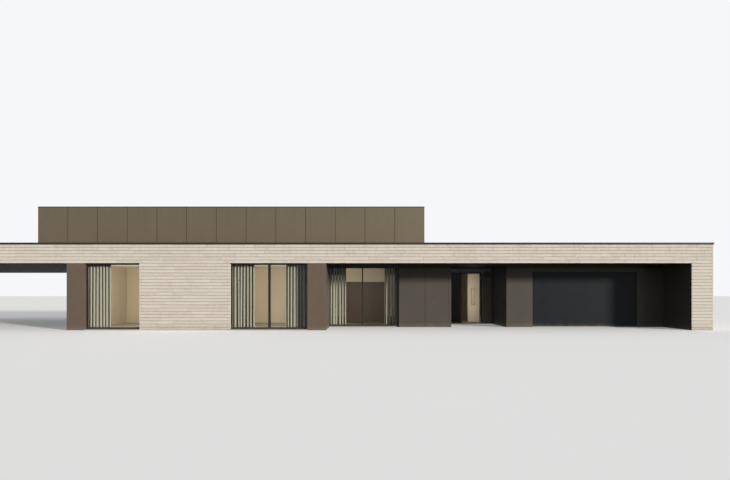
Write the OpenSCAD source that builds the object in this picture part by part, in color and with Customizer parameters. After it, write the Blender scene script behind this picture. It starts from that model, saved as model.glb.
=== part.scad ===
// A long single-storey house: white brick band and piers, dark cladding in a deep front recess,
// a covered terrace at the left end and a raised clad volume on the flat roof.
// Millimetres, +Z up, front towards -Y, origin on the ground in the middle of the house.

/* [Heights] */
// Clear height under the brick band, which is also the head of the tall windows
head_z = 2940; // [2800:10:3200]
// Height of the brick band round the roof
band_h = 840; // [700:10:1100]
// Finished floor above the ground
floor_z = 50; // [30:5:120]
// Thickness of the roof slab with its insulation
roof_t = 395; // [300:5:450]
// Thickness of the soffit boards
soffit_t = 25; // [15:1:40]
// Height of the raised volume above the roof slab
upper_h = 2640; // [2000:10:3200]

/* [Front, left to right] */
// Width of each end pier
pier_w = 950; // [600:10:1200]
// Clear width of the covered terrace
terrace_w = 10500; // [8000:50:12000]
// Width of the cladding panel beside window A
left_panel_w = 765; // [600:5:1200]
// Width of window A
window_a_w = 2415; // [1800:5:3200]
// Width of the brick wall between windows A and B
front_wall_w = 3965; // [3000:5:6000]
// Width of window B
window_b_w = 3390; // [2600:10:4000]
// Width of the cladding panel between window B and the recess
middle_panel_w = 815; // [600:5:1200]
// Width of the bay of window C at the back of the recess
window_c_w = 3340; // [2600:10:4000]
// Width of one cladding panel in the recess
panel_w = 1250; // [900:10:1500]
// Width of the sidelight with its frame
sidelight_w = 990; // [600:10:1200]
// Width of the entrance opening with the door frame
door_w = 1150; // [1000:10:1400]
// Width of the wall at the hinge side of the entrance door
entry_wall_w = 500; // [400:10:900]
// Width of the garage door
garage_door_w = 5000; // [4000:50:5600]
// Width of the cladding between the garage door and the right pier
side_panel_w = 1280; // [900:10:1800]

/* [Depths] */
// Overall depth of the house
house_depth = 10000; // [9400:50:12000]
// Thickness of the outer walls
wall_t = 350; // [300:10:400]
// Depth of the front recess
recess_d = 2000; // [1500:50:2600]
// Depth of the entrance niche behind the recess
niche_d = 2700; // [1800:50:3000]
// Thickness of the wall with the entrance door
entry_t = 250; // [220:10:300]
// Thickness of the inner wall behind the front rooms
spine_t = 150; // [100:10:200]
// Depth of the terrace piers
pier_d = 2000; // [1000:50:2500]

/* [Windows and doors] */
// Face width of the window frames
frame_w = 60; // [45:1:80]
// Depth of the window frames
frame_d = 80; // [60:1:110]
// Distance from the wall face to the window frame
reveal = 170; // [120:5:180]
// Face width of the post in the middle of a window
mullion_w = 100; // [60:2:140]
// Face width of the post in the middle of window C
mullion_c_w = 46; // [40:2:140]
// Thickness of the glass units
glass_t = 28; // [20:1:44]
// Depth of glass held in the frame
glass_bite = 12; // [8:1:16]
// Distance from the soffit to the head of the window at the back of the recess
window_c_drop = 50; // [30:10:300]
// Width of the set-back strip between window C and the cladding
window_c_strip = 100; // [40:10:200]
// Height of the header over the entrance door and the sidelight
entry_header_h = 200; // [100:10:500]
// Height of the header over the garage door
garage_header_h = 290; // [160:10:600]
// Number of windows in the rear wall
rear_window_count = 3; // [1:1:4]
// Width of the windows in the rear wall
rear_window_w = 3310; // [2600:10:3600]
// Width of the window between the terrace and the rear rooms
terrace_window_w = 2340; // [1800:10:3200]

/* [Entrance door] */
// Thickness of the door leaf
leaf_t = 70; // [55:1:80]
// Clearance round the door leaf
leaf_gap = 6; // [5:0.5:8]
// Face width of the door frame
door_frame_w = 45; // [35:1:60]
// Angle at which the door stands open
door_open = 65; // [20:5:80]
// Height of the pull handle
pull_h = 900; // [600:10:1100]
// Width of the pull handle
pull_w = 260; // [120:10:300]
// Thickness of the bar of the pull handle
pull_bar = 18; // [12:1:25]
// Distance from the door leaf to the bar
pull_off = 45; // [35:1:60]

/* [Garage door] */
// Thickness of the garage door
garage_door_t = 45; // [40:1:80]
// Number of sections of the garage door
garage_sections = 5; // [4:1:6]
// Width of the joints between the sections
section_gap = 6; // [4:1:10]

/* [Cladding] */
// Width of the open joints in the cladding
joint_w = 12; // [8:1:20]
// Width of the open joints between the cassettes of the raised volume
cassette_joint_w = 20; // [8:1:30]
// Depth of the open joints in the cladding
joint_d = 20; // [15:1:30]
// Thickness of the cladding on the right pier
clad_t = 30; // [20:1:50]
// Depth of the brick facing in front of the cladding on the right pier
brick_return = 30; // [20:5:200]
// Height of the shadow gap between the cladding in the recess and the soffit
shadow_gap = 110; // [40:5:140]
// Width of the corner profile where the cladding turns into the entrance niche
corner_w = 120; // [60:5:200]
// Length of one cassette on the raised volume
cassette_w = 1500; // [1200:50:1700]
// Number of cassettes along the raised volume
cassette_count = 13; // [9:1:14]
// Number of cassettes across the ends of the raised volume
end_cassette_count = 3; // [2:1:3]
// Height of the set-back base under the cassettes, above the roof slab
upper_base_h = 740; // [300:10:1200]
// Setback of the base under the cassettes
upper_base_in = 30; // [20:1:60]
// Thickness of the walls of the raised volume
upper_wall_t = 250; // [180:10:300]
// Thickness of the roof of the raised volume
upper_roof_t = 40; // [30:1:80]
// Overhang of the roof of the raised volume
upper_out = 5; // [2:1:40]
// Width of the raised edge of that roof
upper_rim_w = 90; // [40:5:200]
// Height of the raised edge of that roof
upper_rim_h = 15; // [5:1:25]
// Distance of the raised volume from the left end of the house
upper_left = 8010; // [6000:10:9500]
// Distance of the raised volume from the front
upper_front = 3260; // [2500:20:3600]

/* [Coping] */
// Thickness of the coping on the brick band
coping_t = 60; // [50:1:120]
// Overhang of the copings
coping_out = 20; // [15:1:40]
// Length of the drip edges under the copings
drip_h = 25; // [15:1:40]
// Thickness of the drip edges
drip_t = 5; // [3:1:8]

/* [Curtains] */
// Width of the curtain at window A
curtain_a_w = 1120; // [700:20:1300]
// Width of the left curtain at window B
curtain_b_left_w = 1100; // [700:20:1300]
// Width of the right curtain at window B
curtain_b_right_w = 960; // [700:20:1200]
// Width of the left curtain at window C
curtain_c_left_w = 840; // [500:20:1000]
// Width of the right curtain at window C
curtain_c_right_w = 560; // [400:20:900]
// Distance between two pleats
pleat = 145; // [90:5:200]
// Depth of the pleats
pleat_d = 90; // [60:5:100]
// Thickness of the pleated cloth
cloth_t = 10; // [6:1:14]
// Distance of the hem from the floor
hem_gap = 15; // [5:1:40]

/* [Hidden] */

// Seat of a piece that hangs or rests without being fixed face to face
seat = 0.3;

// Places along the front
niche_w = sidelight_w + door_w + entry_wall_w;
left_part = pier_w + terrace_w + left_panel_w + window_a_w + front_wall_w + window_b_w + middle_panel_w;
right_part = window_c_w + 3 * panel_w + niche_w + garage_door_w + side_panel_w + pier_w;
house_len = left_part + right_part;
x0 = -house_len / 2;
x1 = house_len / 2;
x_terrace = x0 + pier_w;
x_house = x_terrace + terrace_w;
x_win_a = x_house + left_panel_w;
x_wall = x_win_a + window_a_w;
x_win_b = x_wall + front_wall_w;
x_middle = x_win_b + window_b_w;
x_recess = x_middle + middle_panel_w;
x_panels = x_recess + window_c_w;
x_niche = x_panels + 2 * panel_w;
x_door = x_niche + sidelight_w;
x_entry_wall = x_door + door_w;
x_garage = x_niche + niche_w;
x_garage_door = x_garage + panel_w;
x_garage_side = x_garage_door + garage_door_w;
x_pier = x_garage_side + side_panel_w;

// Places from front to rear
y0 = -house_depth / 2;
y1 = house_depth / 2;
y_in = y0 + wall_t;
y_out = y1 - wall_t;
y_recess = y0 + recess_d;
y_niche = y_recess + niche_d;

// Heights
clad_top = head_z - shadow_gap;
window_c_head = head_z - window_c_drop;
entry_head = head_z - entry_header_h;
garage_head = head_z - garage_header_h;
slab_z = head_z + soffit_t;
roof_z = slab_z + roof_t;
band_top = head_z + band_h;
upper_z = roof_z + upper_h;

// The raised volume
upper_x0 = x0 + upper_left;
upper_x1 = upper_x0 + cassette_count * cassette_w;
upper_y0 = y0 + upper_front;
upper_y1 = upper_y0 + end_cassette_count * cassette_w;
upper_panel_z = roof_z + upper_base_h;
upper_wall_z = upper_z - upper_roof_t;

// The inner wall leaves a passage beside the entrance
passage_w = 1100;
x_spine = x_niche - wall_t - passage_w;
panelling_h = 2180;
panelling_t = 40;
x_panelling = x_recess - wall_t;

// Left edges of the rear windows, with equal stretches of wall between them
rear_pier_w = (x1 - x_house - rear_window_count * rear_window_w) / (rear_window_count + 1);
rear_pitch = rear_window_w + rear_pier_w;
rear_windows = [for (i = [0:rear_window_count - 1]) x_house + rear_pier_w + i * rear_pitch];

// The window beside the terrace belongs to the rear rooms
terrace_window_in = 250;
y_terrace_window = y_niche + spine_t + terrace_window_in;

// Windows stand on the floor slab; window C sits nearer to the wall face and its left post is let
// into the return of the recess
sill_z = floor_z;
bottom_rail = frame_w;
y_window_c = y_recess + reveal / 2;
window_c_rail = slab_z - window_c_head + frame_w;
x_win_c0 = x_recess - frame_w;
x_win_c1 = x_panels - window_c_strip;

// Metal sills fall from the frame to the wall face
sill_rise = 14;
sill_edge = 4;

// Frame of the entrance door, with a stop in front of the leaf
door_frame_in = 60;
stop_t = 15;
stop_w = 15;
stop_gap = 5;
y_door_frame = y_niche + door_frame_in;

// The entrance door, closed: hinge axis on its inner face at the right
swing_gap = 4;
leaf_x1 = x_entry_wall - door_frame_w - leaf_gap;
leaf_x0 = x_door + door_frame_w + leaf_gap + swing_gap;
leaf_z0 = floor_z + leaf_gap;
leaf_z1 = entry_head - door_frame_w - leaf_gap;
y_leaf_out = y_door_frame + stop_t + stop_gap;
y_leaf_in = y_leaf_out + leaf_t;
knuckle_r = 11;
knuckle_h = 60;
hinge_plate_t = 3;
hinge_plate_w = 32;
hinge_x = leaf_x1 + leaf_gap / 2;
hinge_y = y_leaf_in + knuckle_r + 1;
hinge_places = [0.1, 0.5, 0.9];
hinge_zs = [for (place = hinge_places) leaf_z0 + place * (leaf_z1 - leaf_z0)];

// The pull of the entrance door, held by two pins in each bar
pull_z = 1000;
pull_pin_r = 0.4 * pull_bar;
pull_pin_places = [0.15, 0.85];

// The garage door stands a little behind the cladding
garage_door_in = 10;

// The lamp beside the entrance door
lamp_w = 290;
lamp_h = 260;
lamp_d = 120;
lamp_in = 50;

// Curtains hang behind the walls on tracks under the ceiling
track_w = 30;
track_h = 28;
track_over = 180;
wall_gap = 35;
y_track_front = y_in + wall_gap + pleat_d / 2;
y_track_recess = y_recess + wall_t + wall_gap + pleat_d / 2;
curtain_top = slab_z - track_h - seat;
curtain_bottom = floor_z + hem_gap;
wave_steps = 8;

// Outer edges of the curtains
x_curtain_a = x_win_a - 160;
x_curtain_b_left = x_win_b - 110;
x_curtain_b_right = x_middle - 40;
x_curtain_c_left = x_recess - 50;
x_curtain_c_right = x_panels - 120;

// A block between its lowest and highest corner
module block(low, high) {
  translate(low) cube(high - low);
}

// A shape drawn in Y and Z, run along X from a to b
module run_x(a, b) {
  translate([a, 0, 0]) rotate([90, 0, 90]) linear_extrude(b - a) children();
}

// A shape drawn in X and Z, run along Y from a to b
module run_y(a, b) {
  translate([0, b, 0]) rotate([90, 0, 0]) linear_extrude(b - a) children();
}

// Window frame with its lower left outer corner at the origin, panes side by side
function pane_width(w, panes, post) = (w - 2 * frame_w - (panes - 1) * post) / panes;
module window_frame(w, h, panes, head = frame_w, post = mullion_w) {
  pane_w = pane_width(w, panes, post);
  pane_h = h - bottom_rail - head;
  slot_y = (frame_d - glass_t) / 2;
  difference() {
    cube([w, frame_d, h]);
    for (i = [0:panes - 1]) {
      translate([frame_w + i * (pane_w + post), 0, bottom_rail]) {
        translate([0, -1, 0]) cube([pane_w, frame_d + 2, pane_h]);
        translate([-glass_bite, slot_y, -glass_bite])
          cube([pane_w + 2 * glass_bite, glass_t, pane_h + 2 * glass_bite]);
      }
    }
  }
}

// The glass of the same window, held in the grooves of its frame
module window_glass(w, h, panes, head = frame_w, post = mullion_w) {
  pane_w = pane_width(w, panes, post);
  pane_h = h - bottom_rail - head;
  slot_y = (frame_d - glass_t) / 2;
  for (i = [0:panes - 1])
    translate([frame_w + i * (pane_w + post) - glass_bite, slot_y, bottom_rail - glass_bite])
      cube([pane_w + 2 * glass_bite, glass_t, pane_h + 2 * glass_bite]);
}

// Metal sill in front of a frame, as deep as the frame stands behind the wall face
module window_sill(w, depth) {
  run_x(0, w) polygon([[-depth, 0], [0, 0], [0, sill_rise], [-depth, sill_edge]]);
}

// Wall of the recess with open joints at the panel edges and a shadow gap under the soffit
module clad_wall(a, b, z_top, joints) {
  difference() {
    run_x(a, b) polygon([
      [y_recess, 0], [y_recess + wall_t, 0], [y_recess + wall_t, z_top],
      [y_recess + joint_d, z_top], [y_recess + joint_d, clad_top], [y_recess, clad_top]
    ]);
    for (x = joints)
      block([x - joint_w / 2, y_recess - 1, -1], [x + joint_w / 2, y_recess + joint_d, clad_top + 1]);
  }
}

// Long side of the raised volume, outer face at y = 0 and facing -Y
module upper_long_wall() {
  length = upper_x1 - upper_x0;
  difference() {
    run_x(0, length) polygon([
      [upper_base_in, roof_z], [upper_wall_t, roof_z], [upper_wall_t, upper_wall_z],
      [0, upper_wall_z], [0, upper_panel_z], [upper_base_in, upper_panel_z]
    ]);
    for (i = [1:cassette_count - 1])
      block([i * cassette_w - cassette_joint_w / 2, -1, upper_panel_z - 1],
            [i * cassette_w + cassette_joint_w / 2, joint_d, upper_wall_z + 1]);
  }
}

// Short side of the raised volume between the long ones, outer face at x = 0 and facing -X
module upper_short_wall() {
  inner_y0 = upper_y0 + upper_wall_t;
  inner_y1 = upper_y1 - upper_wall_t;
  difference() {
    run_y(inner_y0, inner_y1) polygon([
      [upper_base_in, roof_z], [upper_wall_t, roof_z], [upper_wall_t, upper_wall_z],
      [0, upper_wall_z], [0, upper_panel_z], [upper_base_in, upper_panel_z]
    ]);
    for (i = [1:end_cassette_count - 1])
      block([-1, upper_y0 + i * cassette_w - cassette_joint_w / 2, upper_panel_z - 1],
            [joint_d, upper_y0 + i * cassette_w + cassette_joint_w / 2, upper_wall_z + 1]);
  }
}

// Coping section over a wall from 0 to wall_t, resting at z = 0 and falling to the roof
coping_fall = 10;
module coping_section() {
  polygon([
    [-coping_out, -drip_h], [-coping_out + drip_t, -drip_h], [-coping_out + drip_t, 0],
    [wall_t + coping_out - drip_t, 0], [wall_t + coping_out - drip_t, -drip_h],
    [wall_t + coping_out, -drip_h], [wall_t + coping_out, coping_t - coping_fall], [-coping_out, coping_t]
  ]);
}

// One pleated curtain from x = 0 to w, its middle plane at y = 0
function wave(i) = (pleat_d - cloth_t) / 2 * sin(360 * i / wave_steps);
module curtain(w) {
  count = round(w / pleat) * wave_steps;
  front = [for (i = [0:count]) [i * w / count, wave(i) - cloth_t / 2]];
  back = [for (i = [count:-1:0]) [i * w / count, wave(i) + cloth_t / 2]];
  translate([0, 0, curtain_bottom])
    linear_extrude(curtain_top - curtain_bottom) polygon(concat(front, back));
}

// Places everything that is drawn for the closed door as it stands open
module as_opened() {
  translate([hinge_x, hinge_y, 0]) rotate([0, 0, -door_open])
    translate([-hinge_x, -hinge_y, 0]) children();
}

module floor_slab() {
  color("#8d8a84") linear_extrude(floor_z) {
    translate([x_house + wall_t, y_in]) square([x_recess - x_house - 2 * wall_t, y_out - y_in]);
    translate([x_recess - wall_t, y_recess + wall_t]) square([x_niche - x_recess, y_out - y_recess - wall_t]);
    translate([x_niche - wall_t, y_niche + entry_t])
      square([niche_w + 2 * wall_t, y_out - y_niche - entry_t]);
    translate([x_garage + wall_t, y_recess + wall_t])
      square([x1 - x_garage - 2 * wall_t, y_out - y_recess - wall_t]);
    translate([x_win_a, y0]) square([window_a_w, wall_t]);
    translate([x_win_b, y0]) square([window_b_w, wall_t]);
    translate([x_recess, y_recess]) square([x_win_c1 - x_recess, wall_t]);
    translate([x_niche, y_niche]) square([sidelight_w + door_w, entry_t]);
    translate([x_garage_door, y_recess]) square([garage_door_w, wall_t]);
    translate([x_house, y_terrace_window]) square([wall_t, terrace_window_w]);
    for (x = rear_windows) translate([x, y_out]) square([rear_window_w, wall_t]);
  }
}

module terrace_piers() {
  color("#d8d0c0") {
    block([x0, y0, 0], [x_terrace, y0 + pier_d, head_z]);
    block([x0, y1 - pier_d, 0], [x_terrace, y1, head_z]);
  }
}

module terrace_wall() {
  color("#d8d0c0") {
    block([x_house, y_in, 0], [x_house + wall_t, y_terrace_window, slab_z]);
    block([x_house, y_terrace_window + terrace_window_w, 0], [x_house + wall_t, y_out, slab_z]);
  }
}

module front_panels() {
  color("#5c5248") {
    block([x_house, y0, 0], [x_win_a, y_in, head_z]);
    block([x_middle, y0, 0], [x_recess, y_in, head_z]);
  }
}

module front_wall() {
  color("#d8d0c0") block([x_wall, y0, 0], [x_win_b, y_in, head_z]);
}

module recess_left_wall() {
  color("#3f3a36") difference() {
    block([x_recess - wall_t, y_in, 0], [x_recess, y_recess + wall_t, slab_z]);
    block([x_win_c0, y_window_c, sill_z], [x_recess + 1, y_window_c + frame_d, slab_z + 1]);
  }
}

module entrance_panel_wall() {
  color("#4a443e") difference() {
    clad_wall(x_win_c1, x_niche, slab_z, [x_panels + panel_w, x_niche - corner_w]);
    block([x_win_c1 - 1, y_recess - 1, -1], [x_panels, y_window_c, clad_top]);
  }
}

module entrance_side_walls() {
  color("#4a443e") {
    block([x_niche - wall_t, y_recess + wall_t, 0], [x_niche, y_niche + entry_t, slab_z]);
    block([x_garage, y_recess + wall_t, 0], [x_garage + wall_t, y_niche + entry_t, slab_z]);
  }
}

module entrance_end_wall() {
  color("#4a443e") block([x_entry_wall, y_niche, 0], [x_garage, y_niche + entry_t, entry_head]);
}

module entrance_header() {
  color("#5f5f5d") block([x_niche, y_niche, entry_head], [x_garage, y_niche + entry_t, slab_z]);
}

module garage_side_panels() {
  color("#4a443e") {
    clad_wall(x_garage, x_garage_door, slab_z, []);
    clad_wall(x_garage_side, x1 - wall_t, slab_z, []);
  }
}

module garage_header() {
  color("#33322f") run_x(x_garage_door, x_garage_side) polygon([
    [y_recess, garage_head], [y_recess + wall_t, garage_head], [y_recess + wall_t, slab_z],
    [y_recess + joint_d, slab_z], [y_recess + joint_d, clad_top], [y_recess, clad_top]
  ]);
}

module garage_door() {
  section_h = (garage_head - floor_z) / garage_sections;
  face_y = y_recess + garage_door_in;
  color("#2b2d2e") difference() {
    block([x_garage_door, face_y, floor_z], [x_garage_side, face_y + garage_door_t, garage_head]);
    for (i = [1:garage_sections - 1])
      block([x_garage_door - 1, face_y - 1, floor_z + i * section_h - section_gap / 2],
            [x_garage_side + 1, face_y + section_gap, floor_z + i * section_h + section_gap / 2]);
  }
}

module right_front_pier() {
  color("#d8d0c0") linear_extrude(head_z) polygon([
    [x_pier, y0], [x1, y0], [x1, y_recess], [x_pier + clad_t, y_recess],
    [x_pier + clad_t, y0 + brick_return], [x_pier, y0 + brick_return]
  ]);
}

module recess_side_panel() {
  color("#3a3734") block([x_pier, y0 + brick_return, 0], [x_pier + clad_t, y_recess, head_z]);
}

module right_side_wall() {
  color("#d8d0c0") block([x1 - wall_t, y_recess, 0], [x1, y_out, head_z]);
}

module rear_wall() {
  starts = concat([x_house], [for (x = rear_windows) x + rear_window_w]);
  ends = concat(rear_windows, [x1]);
  color("#d8d0c0") for (i = [0:len(starts) - 1])
    block([starts[i], y_out, 0], [ends[i], y1, head_z]);
}

module spine_wall() {
  color("#b9ab8c") block([x_house + wall_t, y_niche, floor_z], [x_spine, y_niche + spine_t, slab_z]);
}

module wall_panelling() {
  color("#6b4c36")
    block([x_panelling, y_niche - panelling_t, floor_z], [x_spine, y_niche, floor_z + panelling_h]);
}

module roof_slab() {
  color("#9a968e") block([x0 + wall_t, y_in, slab_z], [x1 - wall_t, y_out, roof_z]);
}

module soffits() {
  color("#3a3734") translate([0, 0, head_z]) linear_extrude(soffit_t) {
    translate([x0 + wall_t, y_in]) square([x_house - x0 - wall_t, y_out - y_in]);
    translate([x_recess, y_in]) square([x1 - wall_t - x_recess, y_recess - y_in]);
    translate([x_niche, y_recess]) square([niche_w, niche_d]);
  }
}

module front_band() {
  color("#d8d0c0") block([x0, y0, head_z], [x1, y_in, band_top]);
}

module rear_band() {
  color("#d8d0c0") block([x0, y_out, head_z], [x1, y1, band_top]);
}

module end_bands() {
  color("#d8d0c0") {
    block([x0, y_in, head_z], [x0 + wall_t, y_out, band_top]);
    block([x1 - wall_t, y_in, head_z], [x1, y_out, band_top]);
  }
}

// Outer and inner corners of the copings at the left end, which meet in mitres
coping_outer = [x0 - coping_out, y0 - coping_out];
coping_inner = [x0 + wall_t + coping_out, y_in + coping_out];

// Everything over a plan outline at the height of the copings
module coping_plan(points) {
  translate([0, 0, band_top - drip_h]) linear_extrude(drip_h + coping_t) polygon(points);
}

module long_copings() {
  color("#4b4a48") for (side = [0, 1]) mirror([0, side, 0]) intersection() {
    translate([0, y0, band_top]) run_x(coping_outer.x, -coping_outer.x) coping_section();
    coping_plan([
      coping_outer, [-coping_outer.x, coping_outer.y], [-coping_inner.x, coping_inner.y], coping_inner
    ]);
  }
}

module end_copings() {
  color("#4b4a48") for (side = [0, 1]) mirror([side, 0, 0]) intersection() {
    translate([x0, 0, band_top]) run_y(coping_outer.y, -coping_outer.y) coping_section();
    coping_plan([
      coping_outer, coping_inner, [coping_inner.x, -coping_inner.y], [coping_outer.x, -coping_outer.y]
    ]);
  }
}

module upper_long_walls() {
  color("#6e6254") {
    translate([upper_x0, upper_y0, 0]) upper_long_wall();
    translate([upper_x0, upper_y1, 0]) mirror([0, 1, 0]) upper_long_wall();
  }
}

module upper_end_walls() {
  color("#6e6254") {
    translate([upper_x0, 0, 0]) upper_short_wall();
    translate([upper_x1, 0, 0]) mirror([1, 0, 0]) upper_short_wall();
  }
}

module upper_roof() {
  edge = [upper_out, upper_out, 0];
  rim = [upper_rim_w, upper_rim_w, 0];
  low = [upper_x0, upper_y0, upper_wall_z] - edge;
  high = [upper_x1, upper_y1, upper_z] + edge;
  color("#4b4a48") difference() {
    block(low, high);
    block([low.x, low.y, upper_z - upper_rim_h] + rim, high - rim + [0, 0, 1]);
  }
}

module window_a_frame() {
  color("#2a2826") translate([x_win_a, y0 + reveal, sill_z]) {
    window_frame(window_a_w, head_z - sill_z, 1);
    window_sill(window_a_w, reveal);
  }
}

module window_b_frame() {
  color("#2a2826") translate([x_win_b, y0 + reveal, sill_z]) {
    window_frame(window_b_w, head_z - sill_z, 2);
    window_sill(window_b_w, reveal);
  }
}

module window_c_frame() {
  color("#2a2826") {
    translate([x_win_c0, y_window_c, sill_z])
      window_frame(x_win_c1 - x_win_c0, slab_z - sill_z, 2, window_c_rail, mullion_c_w);
    translate([x_recess, y_window_c, sill_z]) window_sill(x_win_c1 - x_recess, y_window_c - y_recess);
  }
}

module front_window_glass() {
  color("#9fb4bd", 0.4) {
    translate([x_win_a, y0 + reveal, sill_z]) window_glass(window_a_w, head_z - sill_z, 1);
    translate([x_win_b, y0 + reveal, sill_z]) window_glass(window_b_w, head_z - sill_z, 2);
    translate([x_win_c0, y_window_c, sill_z])
      window_glass(x_win_c1 - x_win_c0, slab_z - sill_z, 2, window_c_rail, mullion_c_w);
    translate([x_niche, y_door_frame, sill_z]) window_glass(sidelight_w, entry_head - sill_z, 1);
  }
}

module garden_window_frames() {
  color("#2a2826") {
    for (x = rear_windows) translate([x + rear_window_w, y1 - reveal, sill_z]) rotate([0, 0, 180]) {
      window_frame(rear_window_w, head_z - sill_z, 2);
      window_sill(rear_window_w, reveal);
    }
    translate([x_house + reveal, y_terrace_window + terrace_window_w, sill_z]) rotate([0, 0, -90]) {
      window_frame(terrace_window_w, slab_z - sill_z, 1, soffit_t + frame_w);
      window_sill(terrace_window_w, reveal);
    }
  }
}

module garden_window_glass() {
  color("#9fb4bd", 0.4) {
    for (x = rear_windows) translate([x + rear_window_w, y1 - reveal, sill_z]) rotate([0, 0, 180])
      window_glass(rear_window_w, head_z - sill_z, 2);
    translate([x_house + reveal, y_terrace_window + terrace_window_w, sill_z]) rotate([0, 0, -90])
      window_glass(terrace_window_w, slab_z - sill_z, 1, soffit_t + frame_w);
  }
}

module sidelight_frame() {
  color("#2a2826") translate([x_niche, y_door_frame, sill_z]) {
    window_frame(sidelight_w, entry_head - sill_z, 1);
    window_sill(sidelight_w, door_frame_in);
  }
}

// Outline of the frame of the entrance door, with jambs and head of the given width
module door_frame_outline(w) {
  polygon([
    [x_door, floor_z], [x_door + w, floor_z], [x_door + w, entry_head - w],
    [x_entry_wall - w, entry_head - w], [x_entry_wall - w, floor_z], [x_entry_wall, floor_z],
    [x_entry_wall, entry_head], [x_door, entry_head]
  ]);
}

module door_frame() {
  color("#2a2826") {
    run_y(y_door_frame, y_leaf_in) door_frame_outline(door_frame_w);
    run_y(y_door_frame, y_door_frame + stop_t) door_frame_outline(door_frame_w + stop_w);
  }
}

module front_door() {
  color("#cdbfa6") as_opened() {
    block([leaf_x0, y_leaf_out, leaf_z0], [leaf_x1, y_leaf_in, leaf_z1]);
    for (z = hinge_zs) {
      translate([hinge_x, hinge_y, z + seat]) cylinder(h = knuckle_h, r = knuckle_r, $fn = 32);
      block([hinge_x - hinge_plate_w, y_leaf_in, z + seat],
            [leaf_x1, y_leaf_in + hinge_plate_t, z + seat + knuckle_h]);
    }
  }
}

module door_handle() {
  pull_x0 = (leaf_x0 + leaf_x1 - pull_w) / 2;
  pull_x1 = pull_x0 + pull_w;
  pull_y1 = y_leaf_out - pull_off;
  pull_y0 = pull_y1 - pull_bar;
  color("#8f7a45") as_opened() {
    difference() {
      block([pull_x0, pull_y0, pull_z], [pull_x1, pull_y1, pull_z + pull_h]);
      block([pull_x0 + pull_bar, pull_y0 - 1, pull_z + pull_bar],
            [pull_x1 - pull_bar, pull_y1 + 1, pull_z + pull_h - pull_bar]);
    }
    for (x = [pull_x0 + pull_bar / 2, pull_x1 - pull_bar / 2])
      for (place = pull_pin_places)
        translate([x, y_leaf_out, pull_z + place * pull_h]) rotate([90, 0, 0])
          cylinder(h = pull_off + pull_bar / 2, r = pull_pin_r, $fn = 24);
  }
}

module door_hinges() {
  color("#8a8a86") for (z = hinge_zs) {
    translate([hinge_x, hinge_y, z - knuckle_h]) cylinder(h = knuckle_h, r = knuckle_r, $fn = 32);
    block([hinge_x + leaf_gap / 2, y_leaf_in, z - knuckle_h],
          [hinge_x + hinge_plate_w, y_leaf_in + hinge_plate_t, z]);
  }
}

module entrance_lamp() {
  lamp_x = x_entry_wall + lamp_in;
  color("#1f1e1d")
    block([lamp_x, y_niche - lamp_d, entry_head - lamp_h], [lamp_x + lamp_w, y_niche, entry_head]);
}

// Ceiling track from a to b, its middle at y
module track(a, b, y) {
  block([a, y - track_w / 2, slab_z - track_h], [b, y + track_w / 2, slab_z]);
}

module curtain_tracks() {
  color("#e8e4dc") {
    track(x_win_a - track_over, x_wall + track_over, y_track_front);
    track(x_win_b - track_over, x_recess - wall_t, y_track_front);
    track(x_recess - track_over, x_panels + track_over, y_track_recess);
  }
}

module curtain_a() {
  color("#e9e3d6") translate([x_curtain_a, y_track_front, 0]) curtain(curtain_a_w);
}

module curtains_b() {
  color("#e9e3d6") {
    translate([x_curtain_b_left, y_track_front, 0]) curtain(curtain_b_left_w);
    translate([x_curtain_b_right - curtain_b_right_w, y_track_front, 0]) curtain(curtain_b_right_w);
  }
}

module curtains_c() {
  color("#e9e3d6") {
    translate([x_curtain_c_left, y_track_recess, 0]) curtain(curtain_c_left_w);
    translate([x_curtain_c_right - curtain_c_right_w, y_track_recess, 0]) curtain(curtain_c_right_w);
  }
}

floor_slab();
terrace_piers();
terrace_wall();
front_panels();
front_wall();
recess_left_wall();
entrance_panel_wall();
entrance_side_walls();
entrance_end_wall();
entrance_header();
garage_side_panels();
garage_header();
garage_door();
right_front_pier();
recess_side_panel();
right_side_wall();
rear_wall();
spine_wall();
wall_panelling();
roof_slab();
soffits();
front_band();
rear_band();
end_bands();
long_copings();
end_copings();
upper_long_walls();
upper_end_walls();
upper_roof();
window_a_frame();
window_b_frame();
window_c_frame();
front_window_glass();
garden_window_frames();
garden_window_glass();
sidelight_frame();
door_frame();
front_door();
door_handle();
door_hinges();
entrance_lamp();
curtain_tracks();
curtain_a();
curtains_b();
curtains_c();
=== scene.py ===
"""Dresses the frame of a long single-storey house: brickwork, cladding, roofing, windows, the
entrance, the rooms behind the glass, curtains, light and camera.
Metres, +Z up, the front towards -Y, the ground at z = 0."""

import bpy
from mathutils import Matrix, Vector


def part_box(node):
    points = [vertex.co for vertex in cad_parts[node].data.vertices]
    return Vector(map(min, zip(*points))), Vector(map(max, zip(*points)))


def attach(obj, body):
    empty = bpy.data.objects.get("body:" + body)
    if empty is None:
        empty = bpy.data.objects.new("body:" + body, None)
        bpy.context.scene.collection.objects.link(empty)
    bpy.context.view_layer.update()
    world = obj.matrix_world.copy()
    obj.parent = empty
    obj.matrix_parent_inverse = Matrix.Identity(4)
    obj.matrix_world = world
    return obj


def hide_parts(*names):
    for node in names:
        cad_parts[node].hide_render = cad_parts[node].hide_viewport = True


bl_info = {
    "name": "Bungalow dressing",
    "version": (1, 0, 0),
    "blender": (4, 5, 0),
    "location": "View3D > Sidebar > Bungalow",
    "description": "Brickwork, cladding, glass, curtains and light for a long flat-roofed house",
    "category": "Object",
}

import itertools
import math
import random

import bpy
from bpy.props import FloatProperty, FloatVectorProperty, IntProperty, PointerProperty
from mathutils import Vector

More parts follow.
